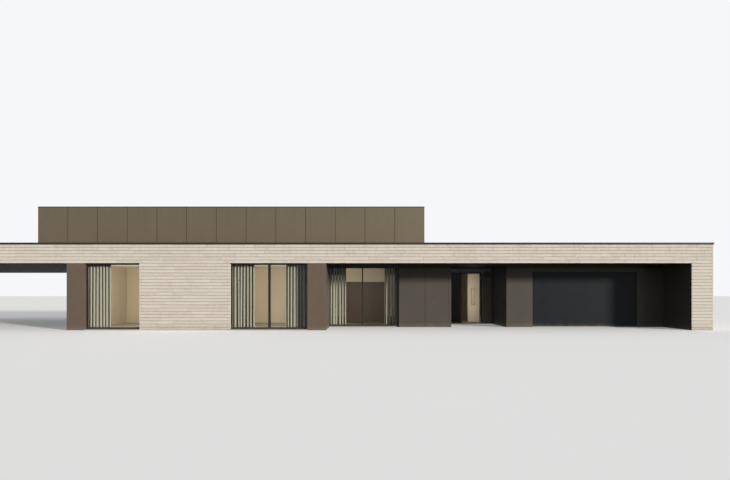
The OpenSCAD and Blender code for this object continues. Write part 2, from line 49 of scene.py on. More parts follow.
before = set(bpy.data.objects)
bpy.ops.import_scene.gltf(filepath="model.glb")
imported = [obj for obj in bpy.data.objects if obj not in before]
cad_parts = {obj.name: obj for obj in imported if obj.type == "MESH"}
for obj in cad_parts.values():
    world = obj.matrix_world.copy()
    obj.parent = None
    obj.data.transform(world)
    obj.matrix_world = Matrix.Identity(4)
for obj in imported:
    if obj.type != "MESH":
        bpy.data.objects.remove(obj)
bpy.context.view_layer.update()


# Settings

def number(name, description, default, **more):
    return FloatProperty(name=name, description=description, default=default, **more)


def length(name, description, default):
    return number(name, description, default, unit="LENGTH")


def angle(name, description, degrees):
    return number(name, description, math.radians(degrees), unit="ROTATION")


def whole(name, description, default):
    return IntProperty(name=name, description=description, default=default)


def colour(name, description, default):
    return FloatVectorProperty(name=name, description=description, default=default, subtype="COLOR")


# Sizes taken from the frame

# Places nearer than this count as the same, and faces that share more than this as touching
CLOSE = 0.001
OVERLAP = 0.01


def points_of(node):
    return [vertex.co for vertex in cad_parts[node].data.vertices]


def corners_of(points):
    """Lowest and highest corner of the box round some points."""
    return tuple(Vector([pick(p[i] for p in points) for i in range(3)]) for pick in (min, max))


def at_height(node, z):
    """Lowest and highest corner of the points of a node that lie at one height."""
    return corners_of([point for point in points_of(node) if abs(point.z - z) < CLOSE])


def heights(node):
    """The heights at which a node has points, from low to high."""
    return sorted({round(point.z, 4) for point in points_of(node)})


def solids(node):
    """Lowest and highest corner of each separate solid of a node, from left to right."""
    points, found = points_of(node), []
    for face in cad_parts[node].data.polygons:
        joined = {tuple(round(c, 5) for c in points[i]): points[i] for i in face.vertices}
        apart = []
        for solid in found:
            if solid.keys() & joined.keys():
                solid.update(joined)
                joined = solid
            else:
                apart.append(solid)
        found = apart + [joined]
    boxes = [corners_of(solid.values()) for solid in found]
    return sorted(boxes, key=lambda box: (round(box[0].x, 3), box[0].y, box[0].z))


# Shader trees

EVEN = (1.0, 1.0, 1.0)
DUST = (0.30, 0.27, 0.23)
# A place this far outside the house, from which a face is seen as its inner or outer side
FAR = 100.0
# How far behind an outer face the painted shade of the cladding's joints and recesses, and the cassettes'
# dark base, begin
JOINT_SKIN = 0.004


def shaded(colour, factor):
    return [factor * c for c in colour]


class Shade:
    """Adds nodes to a shader tree. An input given as a socket is joined, any other is set."""

    def __init__(self, tree):
        self.tree = tree

    def feed(self, socket, value):
        if isinstance(value, bpy.types.NodeSocket):
            self.tree.links.new(value, socket)
        elif socket.type == "RGBA" and len(value) == 3:
            socket.default_value = (*value, 1)
        else:
            socket.default_value = value

    def node(self, kind, inputs=None, **settings):
        node = self.tree.nodes.new("ShaderNode" + kind)
        for name, value in settings.items():
            setattr(node, name, value)
        for name, value in (inputs or {}).items():
            self.feed(node.inputs[name], value)
        return node

    def math(self, operation, *values, clamp=False):
        inputs = dict(enumerate(values))
        return self.node("Math", inputs, operation=operation, use_clamp=clamp).outputs[0]

    def times(self, first, second):
        return self.math("MULTIPLY", first, second)

    def plus(self, first, second):
        return self.math("ADD", first, second)

    def vector(self, operation, *values):
        node = self.node("VectorMath", dict(enumerate(values)), operation=operation)
        return node.outputs["Value" if operation == "DOT_PRODUCT" else "Vector"]

    def mix(self, share, first, second):
        """Mixes colours, which have sockets of their own in a Mix node."""
        return self.node("Mix", {0: share, 6: first, 7: second}, data_type="RGBA").outputs[2]

    def between(self, share, first, second):
        """Mixes numbers."""
        return self.node("Mix", {0: share, 2: first, 3: second}, data_type="FLOAT").outputs[0]

    def spread(self, value, low, high, to_low=0.0, to_high=1.0):
        inputs = {"Value": value, "From Min": low, "From Max": high, "To Min": to_low, "To Max": to_high}
        return self.node("MapRange", inputs).outputs[0]

    def noise(self, place, scale, detail, roughness):
        inputs = {"Vector": place, "Scale": scale, "Detail": detail, "Roughness": roughness}
        return self.node("TexNoise", inputs).outputs["Fac"]

    def place(self):
        return self.node("TexCoord").outputs["Object"]

    def along(self, axis, place=None):
        return self.node("SeparateXYZ", {0: place or self.place()}).outputs[axis]

    def in_view(self):
        """1 for rays that show a surface: seen directly, in gloss or through glass."""
        path = self.node("LightPath").outputs
        direct = self.math("MAXIMUM", path["Is Camera Ray"], path["Is Glossy Ray"])
        return self.math("MAXIMUM", direct, path["Is Transmission Ray"])

    def group(self, build, **inputs):
        """A shared effect, placed in this tree with its own values."""
        tree = bpy.data.node_groups.get(build.__doc__) or build(build.__doc__)
        return self.node("Group", inputs, node_tree=tree).outputs[0]


class Effect(Shade):
    """A node group under construction, with one output."""

    def __init__(self, name, output, **inputs):
        super().__init__(bpy.data.node_groups.new(name, "ShaderNodeTree"))
        for title, value in inputs.items():
            kind = "NodeSocketVector" if isinstance(value, tuple) else "NodeSocketFloat"
            socket = self.tree.interface.new_socket(title, in_out="INPUT", socket_type=kind)
            socket.default_value = value
        self.tree.interface.new_socket(output, in_out="OUTPUT", socket_type="NodeSocketFloat")
        self.given = self.tree.nodes.new("NodeGroupInput").outputs
        self.result = self.tree.nodes.new("NodeGroupOutput")

    def stretched(self):
        return self.vector("MULTIPLY", self.place(), self.given["Stretch"])

    def done(self, value):
        self.feed(self.result.inputs[0], value)
        return self.tree


def mottling(name):
    """Mottling"""
    effect = Effect(name, "Mask", Scale=2.0, Stretch=EVEN, Low=0.3, High=0.7)
    cloud = effect.noise(effect.stretched(), effect.given["Scale"], 6.0, 0.6)
    return effect.done(effect.spread(cloud, effect.given["Low"], effect.given["High"]))


def relief(name):
    """Fine relief"""
    effect = Effect(name, "Height", Scale=60.0, Stretch=EVEN, Pits=0.0)
    place = effect.stretched()
    grain = effect.noise(place, effect.given["Scale"], 5.0, 0.65)
    inputs = {"Vector": place, "Scale": effect.given["Scale"]}
    cells = effect.node("TexVoronoi", inputs, feature="F1").outputs["Distance"]
    pits = effect.spread(cells, 0.0, 0.35, 1.0, 0.0)
    return effect.done(effect.math("SUBTRACT", grain, effect.times(pits, effect.given["Pits"])))


def rain_marks(name):
    """Rain marks"""
    effect = Effect(name, "Mask", Top=3.0, Reach=0.6)
    place = effect.vector("MULTIPLY", effect.place(), (7.0, 7.0, 0.35))
    streaks = effect.spread(effect.noise(place, 1.0, 5.0, 0.6), 0.45, 0.75)
    fall = effect.math("SUBTRACT", effect.given["Top"], effect.along("Z"))
    near = effect.math("DIVIDE", fall, effect.given["Reach"])
    return effect.done(effect.times(streaks, effect.math("SUBTRACT", 1.0, near, clamp=True)))


def ground_splash(name):
    """Ground splash"""
    effect = Effect(name, "Mask", Reach=0.5)
    edge = effect.noise(effect.place(), 3.0, 6.0, 0.65)
    height = effect.math("DIVIDE", effect.along("Z"), effect.given["Reach"])
    low = effect.math("SUBTRACT", effect.plus(edge, 0.35), height, clamp=True)
    return effect.done(effect.times(low, low))


def room_side(name):
    """Room side"""
    effect = Effect(name, "Mask", Centre=(0.0, 0.0, 0.0), Along=(1.0, 1.0, 0.0))
    geometry = effect.node("NewGeometry").outputs
    away = effect.vector("SUBTRACT", geometry["Position"], effect.given["Centre"])
    away = effect.vector("MULTIPLY", away, effect.given["Along"])
    facing = effect.vector("DOT_PRODUCT", away, geometry["Normal"])
    return effect.done(effect.math("GREATER_THAN", facing, CLOSE))


def depth_in_box(name):
    """Distance past the sides of an upright box"""
    effect = Effect(name, "Distance", Centre=(0.0, 0.0, 0.0), Half=(1.0, 1.0, 0.0))
    place = effect.node("NewGeometry").outputs["Position"]
    away = effect.vector("ABSOLUTE", effect.vector("SUBTRACT", place, effect.given["Centre"]))
    past = effect.vector("SUBTRACT", away, effect.given["Half"])
    return effect.done(effect.math("MAXIMUM", effect.along("X", past), effect.along("Y", past)))


class Finish(Shade):
    """A material under construction, with one Principled shader."""

    def __init__(self, name, **sockets):
        self.material = bpy.data.materials.new(name)
        self.material.use_nodes = True
        super().__init__(self.material.node_tree)
        self.shader = self.tree.nodes["Principled BSDF"]
        self.set(**sockets)

    def set(self, **sockets):
        for name, value in sockets.items():
            self.feed(self.shader.inputs[name.replace("_", " ").title().replace("Ior", "IOR")], value)

    def done(self, height, depth, strength=1.0, **sockets):
        """Sets the relief and the last sockets, and gives back the material."""
        bump = self.node("Bump", {"Height": height, "Distance": depth, "Strength": strength})
        self.set(normal=bump.outputs[0], **sockets)
        return self.material

    def tone(self):
        """The tone of a brick, a board or a fold, from 0 to 1."""
        return self.node("Attribute", attribute_name="tone").outputs["Fac"]

    def clouds(self, scale, low=0.3, high=0.7, stretch=EVEN):
        return self.group(mottling, Scale=scale, Stretch=stretch, Low=low, High=high)

    def grain(self, scale, stretch=EVEN, pits=0.0):
        return self.group(relief, Scale=scale, Stretch=stretch, Pits=pits)

    def ramp(self, mask, dark, light):
        """A number that follows a mask, from its dark to its light places."""
        return self.spread(mask, 0.0, 1.0, dark, light)

    def tint(self, body, second, mask, share):
        """Mixes a share of a second colour in where the mask is light."""
        return self.mix(self.times(mask, share), body, second)

    def dust(self, reach, share):
        """Where dust lies near the ground."""
        return self.times(self.group(ground_splash, Reach=reach), share)

    def upward(self):
        """1 on faces that look up."""
        return self.group(room_side, Centre=(0.0, 0.0, -FAR), Along=(0.0, 0.0, 1.0))


def brick_finish(name, look):
    """Whitewashed long bricks: a tone for each one, thin wash, drag marks and pores."""
    finish = Finish(name)
    body = finish.mix(finish.tone(), look.dark_brick, look.light_brick)
    wash = finish.clouds(5.0, low=0.38, high=0.62, stretch=(1.0, 1.0, 4.0))
    body = finish.tint(body, look.wash, wash, 0.55)
    worn = finish.clouds(23.0, low=0.56, high=0.72, stretch=(1.0, 1.0, 2.5))
    body = finish.tint(body, look.bare_brick, worn, 0.2)
    rain = finish.times(finish.group(rain_marks, Top=3.8, Reach=0.9), 0.22)
    splash = finish.dust(0.55, 0.5)
    body = finish.mix(finish.plus(rain, splash), body, look.stain)
    pores = finish.grain(70.0, (1.0, 1.0, 2.2), pits=0.35)
    rough = finish.ramp(wash, 0.92, 0.78)
    return finish.done(pores, 0.004, 0.8, base_color=body, roughness=rough)


def mortar_finish(name, look):
    """Raked sand mortar."""
    finish = Finish(name, roughness=0.95)
    body = finish.mix(finish.clouds(8.0, low=0.4, high=0.6), look.mortar, shaded(look.mortar, 0.8))
    return finish.done(finish.grain(160.0), 0.003, base_color=body)


def plaster_sockets(finish, colour):
    """Colour and relief of painted plaster, for a whole material or the room side of one."""
    return finish.tint(colour, shaded(colour, 0.86), finish.clouds(1.3), 0.25), finish.grain(90.0)


def plaster_finish(name, colour):
    """Painted plaster, smooth with a little roller texture."""
    finish = Finish(name, roughness=0.8)
    body, roller = plaster_sockets(finish, colour)
    return finish.done(roller, 0.0006, base_color=body)


def cladding_finish(name, colour, plaster, centre, along, roughness=0.42, gloss=0.2, bay=None):
    """Satin metal cladding with soft dents and dust, and plaster on the room side.

    The sides of the bay are its outer face, and what lies deeper is the dark of a joint."""
    finish = Finish(name, specular_ior_level=gloss)
    inside = finish.group(room_side, Centre=centre, Along=along)
    broad = finish.clouds(0.9)
    fine = finish.clouds(9.0, low=0.35, stretch=(1.0, 1.0, 0.35))
    outer = finish.tint(colour, shaded(colour, 1.28), broad, 0.6)
    outer = finish.tint(outer, shaded(colour, 0.8), fine, 0.35)
    dust = finish.dust(0.35, 0.35)
    outer = finish.mix(dust, outer, DUST)
    if bay:
        depth = finish.group(depth_in_box, Centre=bay[0], Half=bay[1])
        # Painted shade: faces set back from the box's sides get a fifth of the colour
        outer = finish.mix(finish.math("GREATER_THAN", depth, JOINT_SKIN), outer, shaded(colour, 0.2))
    wall, roller = plaster_sockets(finish, plaster)
    rough = finish.plus(finish.ramp(fine, roughness, roughness + 0.12), finish.times(dust, 0.5))
    grain = finish.grain(140.0, (1.0, 1.0, 0.08))
    dents = finish.plus(finish.times(broad, 3.0), finish.times(grain, 0.12))
    finish.set(base_color=finish.mix(inside, outer, wall), roughness=finish.between(inside, rough, 0.8))
    return finish.done(finish.between(inside, dents, roller), 0.0008)


def paint_finish(name, colour, roughness, metallic=0.0, gloss=0.5):
    """Sprayed or powder paint: faint cloudiness, a fine orange-peel surface and a little dust."""
    finish = Finish(name, metallic=metallic, specular_ior_level=gloss)
    cloud = finish.clouds(3.0)
    body = finish.tint(colour, shaded(colour, 1.25), cloud, 0.4)
    dust = finish.dust(0.3, 0.25)
    rough = finish.plus(finish.ramp(cloud, roughness, roughness + 0.08), dust)
    body = finish.mix(dust, body, DUST)
    return finish.done(finish.grain(220.0), 0.0002, base_color=body, roughness=rough)


def glass_finish(name, pane, smoke=None, smoked=None):
    """Glass that lets light through unbent, smoked between two places along X if given."""
    finish = Finish(name, roughness=0.0, ior=1.18, transmission_weight=1.0)
    if smoked:
        middle, half = sum(smoked) / 2, (smoked[1] - smoked[0]) / 2
        away = finish.math("ABSOLUTE", finish.math("SUBTRACT", finish.along("X"), middle))
        pane = finish.mix(finish.math("LESS_THAN", away, half), pane, smoke)
    finish.set(base_color=pane)
    path = finish.node("LightPath").outputs
    unseen = finish.math("MAXIMUM", path["Is Shadow Ray"], path["Is Diffuse Ray"])
    clear = finish.node("BsdfTransparent", {"Color": pane})
    both = finish.node("MixShader", {0: unseen, 1: finish.shader.outputs[0], 2: clear.outputs[0]})
    finish.feed(finish.tree.nodes["Material Output"].inputs["Surface"], both.outputs[0])
    return finish.material


def metal_finish(name, colour, roughness, brushed=EVEN):
    """Bare metal with fine brushing and fingermarks."""
    finish = Finish(name, metallic=1.0)
    marks = finish.clouds(14.0, low=0.4, high=0.75)
    body = finish.tint(colour, shaded(colour, 0.72), marks, 0.5)
    rough = finish.ramp(marks, roughness, roughness + 0.18)
    return finish.done(finish.grain(300.0, brushed), 0.0001, base_color=body, roughness=rough)


def wood_finish(name, colour, roughness, gloss, stretch):
    """Stained boards: a tone for each, long grain and open pores."""
    finish = Finish(name, specular_ior_level=gloss)
    grain = finish.grain(45.0, stretch, pits=0.2)
    body = finish.mix(finish.tone(), shaded(colour, 0.78), shaded(colour, 1.2))
    body = finish.tint(body, shaded(colour, 0.6), finish.clouds(6.0, stretch=stretch), 0.45)
    rough = finish.spread(grain, 0.3, 0.7, roughness - 0.08, roughness + 0.12)
    return finish.done(grain, 0.0008, base_color=body, roughness=rough)


def membrane_finish(name, colour):
    """Bitumen roofing with mineral grains and dried puddles."""
    finish = Finish(name, roughness=0.9)
    body = finish.tint(colour, shaded(colour, 1.4), finish.clouds(260.0, low=0.35, high=0.65), 0.5)
    body = finish.tint(body, shaded(colour, 0.62), finish.clouds(0.7, low=0.42, high=0.6), 0.35)
    return finish.done(finish.grain(300.0), 0.002, base_color=body)


def roof_slab_finish(top, plaster):
    """Roofing above and a plastered ceiling below."""
    finish = Finish("Roof slab", roughness=0.88)
    upper = finish.upward()
    roof = finish.tint(top, shaded(top, 0.65), finish.clouds(0.8, low=0.4, high=0.62), 0.4)
    ceiling, roller = plaster_sockets(finish, plaster)
    height = finish.between(upper, roller, finish.grain(300.0))
    return finish.done(height, 0.001, base_color=finish.mix(upper, ceiling, roof))


def floor_slab_finish(look):
    """The floor of the rooms above and concrete edges round it."""
    finish = Finish("Floor")
    top = finish.upward()
    floor = finish.tint(look.floor, shaded(look.floor, 0.8), finish.clouds(1.1), 0.4)
    edge = finish.mix(finish.clouds(40.0, low=0.4), look.slab, shaded(look.slab, 0.75))
    finish.set(base_color=finish.mix(top, edge, floor), roughness=finish.between(top, 0.9, 0.35))
    return finish.done(finish.grain(90.0), 0.0008)


def cloth_finish(colour):
    """Loose linen: warp and weft threads and slubs, darker deep in the folds."""
    finish = Finish("Curtain linen", roughness=0.95, specular_ior_level=0.0)
    # Painted shade: the tone darkens the cloth to three tenths deep in a fold and lightens it on the crests
    body = finish.mix(finish.tone(), shaded(colour, 0.3), shaded(colour, 1.08))
    slubs = finish.clouds(30.0, low=0.35, stretch=(1.0, 1.0, 0.1))
    body = finish.tint(body, shaded(colour, 0.75), slubs, 0.3)
    return finish.done(finish.grain(700.0, (1.0, 1.0, 0.25)), 0.0006, base_color=body)


# Meshes

# Cut of the upright edges of a slab, in arrises
CORNER_CUT = 0.6
# The finish of what lies behind or inside the first one of a piece
SECOND = 1


def even_cuts(start, end, size):
    """The two ends of each of the equal steps, of about a size, that fill a stretch."""
    span, count = end - start, round((end - start) / size)
    return [(start + span * i / count, start + span * (i + 1) / count) for i in range(count)]


def uneven_cuts(start, end, size, limits, draw):
    """The same for uneven steps, between a lowest and a highest share of their mean size."""
    count = max(1, round((end - start) / size))
    shares = [draw.uniform(*limits) for _ in range(count)]
    places = [start]
    for share in shares:
        places.append(places[-1] + (end - start) * share / sum(shares))
    return list(zip(places, places[1:]))


def turned(points, axis):
    """Points as they are for axis 0, or with X and Y exchanged for axis 1."""
    return [(y, x, z) if axis else (x, y, z) for x, y, z in points]


def rectangle(x0, y0, x1, y1):
    return [(x0, y0), (x1, y0), (x1, y1), (x0, y1)]


def into_scene(name, data):
    """A new object in the scene."""
    thing = bpy.data.objects.new(name, data)
    bpy.context.scene.collection.objects.link(thing)
    return thing


class Maker:
    """Collects the points and faces of one piece, with a finish and a tone for each face."""

    def __init__(self, *finishes):
        self.finishes = finishes
        self.points, self.faces, self.marks, self.tones = [], [], [], []

    def add(self, points, faces, marks=0, tones=0.5):
        """Adds faces over new points. A single mark or tone stands for all of them."""
        start = len(self.points)
        self.points += [tuple(p) for p in points]
        self.faces += [tuple(start + i for i in face) for face in faces]
        self.marks += [marks] * len(faces) if isinstance(marks, int) else marks
        self.tones += [tones] * len(faces) if isinstance(tones, float) else tones

    def box(self, low, high, marks=0):
        """A box with one finish or one for each side: -X, +X, -Y, +Y, bottom and top."""
        sides = [(0, 1, 3, 2), (4, 6, 7, 5), (0, 4, 5, 1), (2, 3, 7, 6), (0, 2, 6, 4), (1, 5, 7, 3)]
        self.add(itertools.product(*zip(low, high)), sides, marks)

    def sweep(self, sections, tone=0.5, capped=True):
        """Joins closed outlines with equally many points, given in order, into one skin."""
        count = len(sections[0])
        last = (len(sections) - 1) * count
        faces = []
        for i in range(0, last, count):
            for j in range(count):
                k = (j + 1) % count
                faces.append((i + j, i + k, i + count + k, i + count + j))
        if capped:
            faces += [tuple(reversed(range(count))), tuple(range(last, last + count))]
        self.add([point for section in sections for point in section], faces, 0, tone)

    def slab(self, low, high, arris, tone=0.5):
        """A box whose edges are all broken by a small chamfer."""
        low, high = Vector(low), Vector(high)
        cut = arris * CORNER_CUT
        sections = []
        for z, inset in ((low.z, arris), (low.z + arris, 0.0), (high.z - arris, 0.0), (high.z, arris)):
            x0, x1, y0, y1 = low.x + inset, high.x - inset, low.y + inset, high.y - inset
            sections.append([
                (x0 + cut, y0, z), (x1 - cut, y0, z), (x1, y0 + cut, z), (x1, y1 - cut, z),
                (x1 - cut, y1, z), (x0 + cut, y1, z), (x0, y1 - cut, z), (x0, y0 + cut, z),
            ])
        self.sweep(sections, tone)

    def piece(self, name, slot, replaces=(), smooth=False):
        """Makes the object, which rides on the house and stands for the nodes it replaces."""
        mesh = bpy.data.meshes.new(name)
        mesh.from_pydata(self.points, [], self.faces)
        mesh.polygons.foreach_set("material_index", self.marks)
        mesh.polygons.foreach_set("use_smooth", [smooth] * len(self.faces))
        mesh.attributes.new("tone", "FLOAT", "FACE").data.foreach_set("value", self.tones)
        for finish in self.finishes:
            mesh.materials.append(finish)
        mesh.update()
        piece = into_scene(name, mesh)
        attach(piece, "house")
        if replaces:
            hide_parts(*replaces)
        return piece


def paint(material, *nodes):
    """Gives nodes of the frame their material."""
    for node in nodes:
        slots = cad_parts[node].data.materials
        slots.clear()
        slots.append(material)


# Brickwork

class BrickSettings(bpy.types.PropertyGroup):
    course: length("Course", "Height of one course with its joint", 0.14)
    joint: length("Bed joint", "Height of the raked bed joints", 0.016)
    perpend: length("Perpend", "Width of the upright joints", 0.005)
    rake: length("Rake", "Depth of the joints behind the brick faces", 0.014)
    depth: length("Header", "Depth of a brick, seen at the corners", 0.1)
    shallow: length("Bed", "Depth to which other bricks are drawn", 0.03)
    usual: length("Usual length", "Mean length of the bricks", 0.72)
    wave: length("Wave", "Spacing of the unevenness along a brick", 0.22)
    arris: length("Arris", "Size of the broken edges", 0.004)
    wobble: length("Wobble", "Unevenness of edges and faces", 0.0025)
    proud: length("Setback", "Most that a brick stands back", 0.003)
    stop: length("Stop", "How far the bricks of a reveal end behind the plaster face", 0.004)
    seed: whole("Seed", "Choice of the random lengths and tones", 7)
    dark_brick: colour("Dark brick", "Darkest brick body", (0.585, 0.53, 0.455))
    light_brick: colour("Light brick", "Lightest brick body", (0.675, 0.622, 0.548))
    bare_brick: colour("Bare brick", "Where the wash has worn off", (0.42, 0.36, 0.29))
    wash: colour("Wash", "Colour of the whitewash", (0.70, 0.65, 0.58))
    stain: colour("Stain", "Colour of rain marks and splashes", (0.22, 0.20, 0.17))
    mortar: colour("Mortar", "Colour of the mortar", (0.30, 0.272, 0.225))


MORTAR, PLASTER, SOFFIT, ROOFING = 1, 2, 3, 4
# Lengths of the bricks in shares of their mean, and the wobble of a face in that of an edge
BRICK_LENGTHS = (0.45, 1.55)
FACE_WOBBLE = 0.6


def shared(build, name, *values):
    """A material that several pieces use, built once."""
    return bpy.data.materials.get(name) or build(name, *values)


def brick_finishes(context):
    """The finishes of a brick piece: bricks, mortar, plaster, soffit and roofing."""
    scene = context.scene
    return (
        shared(brick_finish, "Whitewashed brick", scene.bungalow_brick),
        shared(mortar_finish, "Raked mortar", scene.bungalow_brick),
        shared(plaster_finish, "Room plaster", scene.bungalow_rooms.plaster),
        shared(paint_finish, "Dark soffit", scene.bungalow_cladding.soffit, 0.6, 0.0, 0.2),
        shared(membrane_finish, "Roofing membrane", scene.bungalow_roof.membrane),
    )


class Run:
    """One straight stretch of wall face, with the outside on its right hand."""

    def __init__(self, start, end):
        self.start, self.end = Vector(start), Vector(end)
        self.length = (self.end - self.start).length
        self.along = (self.end - self.start) / self.length
        self.outward = Vector((self.along.y, -self.along.x))

    def at(self, along, depth, z):
        flat = self.start + self.along * along - self.outward * depth
        return (flat.x, flat.y, z)

    def covers(self, box, axis, side):
        """True if this face lies on the low (0) or high (1) side of a box along an axis."""
        if abs(self.outward[axis] - (2 * side - 1)) > CLOSE:
            return False
        other = 1 - axis
        ends = sorted((self.start[other], self.end[other]))
        overlap = min(ends[1], box[1][other]) - max(ends[0], box[0][other])
        return abs(self.start[axis] - box[side][axis]) < CLOSE and overlap > OVERLAP


def brick(maker, run, a, b, z0, z1, depth, look, draw):
    """One brick from a to b along a run, with uneven arrises and a slightly wavy face."""
    arris, wobble = look.arris, look.wobble
    count = max(1, round((b - a - 2 * arris) / look.wave))
    inner = [a + arris + (b - a - 2 * arris) * i / count for i in range(count + 1)]
    face = draw.uniform(0.0, look.proud)
    sections = []
    for i, s in enumerate([a] + inner + [b]):
        low = z0 + draw.uniform(0, wobble)
        high = z1 - draw.uniform(0, wobble)
        front = arris if i in (0, count + 2) else face + draw.uniform(0, wobble * FACE_WOBBLE)
        sections.append([
            run.at(s, depth, low), run.at(s, arris, low), run.at(s, front, low + arris),
            run.at(s, front, high - arris), run.at(s, arris, high), run.at(s, depth, high),
        ])
    maker.sweep([section[::-1] for section in sections], draw.random())


def lay_bricks(maker, path, z, courses, look, draw, closed=False):
    """Lays courses along a wall line. At each corner the two faces run through in turns."""
    runs = [Run(a, b) for a, b in zip(path, path[1:] + path[:1] if closed else path[1:])]
    for course in range(courses):
        z0 = z + course * look.course
        z1 = z0 + look.course - look.joint
        for i, run in enumerate(runs):
            cornered = [closed or i > 0, closed or i < len(runs) - 1]
            through = (course + i) % 2 == 1
            a, b = (0.0 if through or not corner else look.depth + look.perpend for corner in cornered)
            b = run.length - b
            cuts = uneven_cuts(a, b, look.usual, BRICK_LENGTHS, draw)
            for j, (left, right) in enumerate(cuts):
                first, last = j == 0, j == len(cuts) - 1
                header = through and (first and cornered[0] or last and cornered[1])
                depth = look.depth if header else look.shallow
                end = right if last else right - look.perpend
                brick(maker, run, left, end, z0, z1, depth, look, draw)
    return runs


def core(maker, low, high, runs, look, marks):
    """The wall behind the bricks: mortar, set back by the rake, where a run covers its side."""
    given, corners = list(marks), [Vector(low), Vector(high)]
    for i in range(4):
        axis, side = divmod(i, 2)
        if any(run.covers((low, high), axis, side) for run in runs):
            given[i] = MORTAR
            corners[side][axis] += look.rake * (1 - 2 * side)
    maker.box(*corners, given)


def lay_ring(maker, low, high, look, draw):
    """Lays bricks round a block, from its foot to its top."""
    courses = round((high.z - low.z) / look.course)
    return lay_bricks(maker, rectangle(*low.xy, *high.xy), low.z, courses, look, draw, closed=True)


def start_bricks(context, step):
    """The settings, the maker and the random draws of a brick piece."""
    look = context.scene.bungalow_brick
    return look, Maker(*brick_finishes(context)), random.Random(look.seed + step)


class BUNGALOW_OT_brick_walls(bpy.types.Operator):
    """Lay the brick walls and the right pier, with their window reveals"""

    bl_idname = "bungalow.brick_walls"
    bl_label = "Brick walls"

    def execute(self, context):
        look, maker, draw = start_bricks(context, 0)
        front, pier, panel = (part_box(n) for n in ("front_wall", "right_front_pier", "recess_side_panel"))
        rear = solids("rear_wall")
        near, far = sorted(solids("terrace_wall"), key=lambda box: box[0].y)
        x_left, x_right, x_inner = rear[0][0].x, rear[-1][1].x, near[1].x - look.stop
        y_front, y_in = front[0].y, front[1].y - look.stop
        y_out, y_rear = rear[0][0].y + look.stop, rear[0][1].y
        paths = [
            [(front[0].x, y_in), (front[0].x, y_front), (front[1].x, y_front), (front[1].x, y_in)],
            [
                (rear[0][1].x, y_out), (rear[0][1].x, y_rear), (x_left, y_rear),
                (x_left, far[0].y), (x_inner, far[0].y),
            ],
            [(x_inner, near[1].y), (x_left, near[1].y), (x_left, near[0].y)],
            [
                (pier[0].x, y_front), (x_right, y_front), (x_right, y_rear),
                (rear[-1][0].x, y_rear), (rear[-1][0].x, y_out),
            ],
        ]
        for low, high in rear[1:-1]:
            paths.append([(high.x, y_out), (high.x, y_rear), (low.x, y_rear), (low.x, y_out)])
        courses = round(front[1].z / look.course)
        runs = []
        for path in paths:
            runs += lay_bricks(maker, path, 0.0, courses, look, draw)
        walls = [front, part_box("right_side_wall"), near, far] + rear
        walls.append((pier[0] + Vector((look.shallow, 0, 0)), (panel[1].x, panel[0].y, pier[1].z)))
        walls.append(((panel[1].x, pier[0].y, pier[0].z), pier[1]))
        for low, high in walls:
            core(maker, low, high, runs, look, (PLASTER,) * 4 + (MORTAR,) * 2)
        maker.piece("brick_walls", "brick", replaces=[
            "front_wall", "rear_wall", "terrace_wall", "right_side_wall", "right_front_pier",
        ])
        return {"FINISHED"}


class BUNGALOW_OT_brick_piers(bpy.types.Operator):
    """Lay the brick piers of the terrace"""

    bl_idname = "bungalow.brick_piers"
    bl_label = "Terrace piers"

    def execute(self, context):
        look, maker, draw = start_bricks(context, 1)
        for low, high in solids("terrace_piers"):
            runs = lay_ring(maker, low, high, look, draw)
            core(maker, low, high, runs, look, (MORTAR,) * 6)
        maker.piece("brick_piers", "brick", replaces=["terrace_piers"])
        return {"FINISHED"}


class BUNGALOW_OT_brick_band(bpy.types.Operator):
    """Lay the brick band round the roof"""

    bl_idname = "bungalow.brick_band"
    bl_label = "Brick band"

    def execute(self, context):
        look, maker, draw = start_bricks(context, 2)
        front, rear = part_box("front_band"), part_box("rear_band")
        runs = lay_ring(maker, front[0], rear[1], look, draw)
        for part in [front, rear] + solids("end_bands"):
            core(maker, *part, runs, look, (ROOFING,) * 4 + (SOFFIT, ROOFING))
        maker.piece("brick_band", "brick", replaces=["front_band", "rear_band", "end_bands"])
        return {"FINISHED"}


# Cladding

class CladdingSettings(bpy.types.PropertyGroup):
    front: colour("Front panels", "Panels beside the front windows", (0.112, 0.083, 0.059))
    recess: colour("Recess", "Cladding in the recess", (0.080, 0.070, 0.058))
    # The niche and the end wall are one cladding: the niche colour is darkened as painted shade, the end
    # wall colour lightened as painted light
    niche: colour("Niche", "Cladding on the sides of the entrance niche", (0.024, 0.024, 0.025))
    end_wall: colour("End wall", "Cladding beside the entrance door", (0.23, 0.20, 0.163))
    header: colour("Header", "Panel over the entrance", (0.25, 0.275, 0.33))
    garage: colour("Garage door", "Paint of the garage door", (0.0135, 0.0155, 0.018))
    soffit: colour("Soffits", "Boards under the roof", (0.008, 0.0075, 0.007))
    board: length("Board", "Width of a soffit board with its joint", 0.145)
    board_gap: length("Board joint", "Joint between soffit boards", 0.007)
    board_length: length("Board length", "Mean length of the boards", 3.6)
    board_t: length("Board thickness", "Thickness of the boards", 0.019)
    board_end: length("Board ends", "Joint between the ends of two boards", 0.002)
    board_arris: length("Board edges", "Broken edges of the boards", 0.003)
    seed: whole("Seed", "Choice of the random lengths and tones of the boards", 3)


# Lengths of the soffit boards in shares of their mean
BOARD_LENGTHS = (0.6, 1.4)


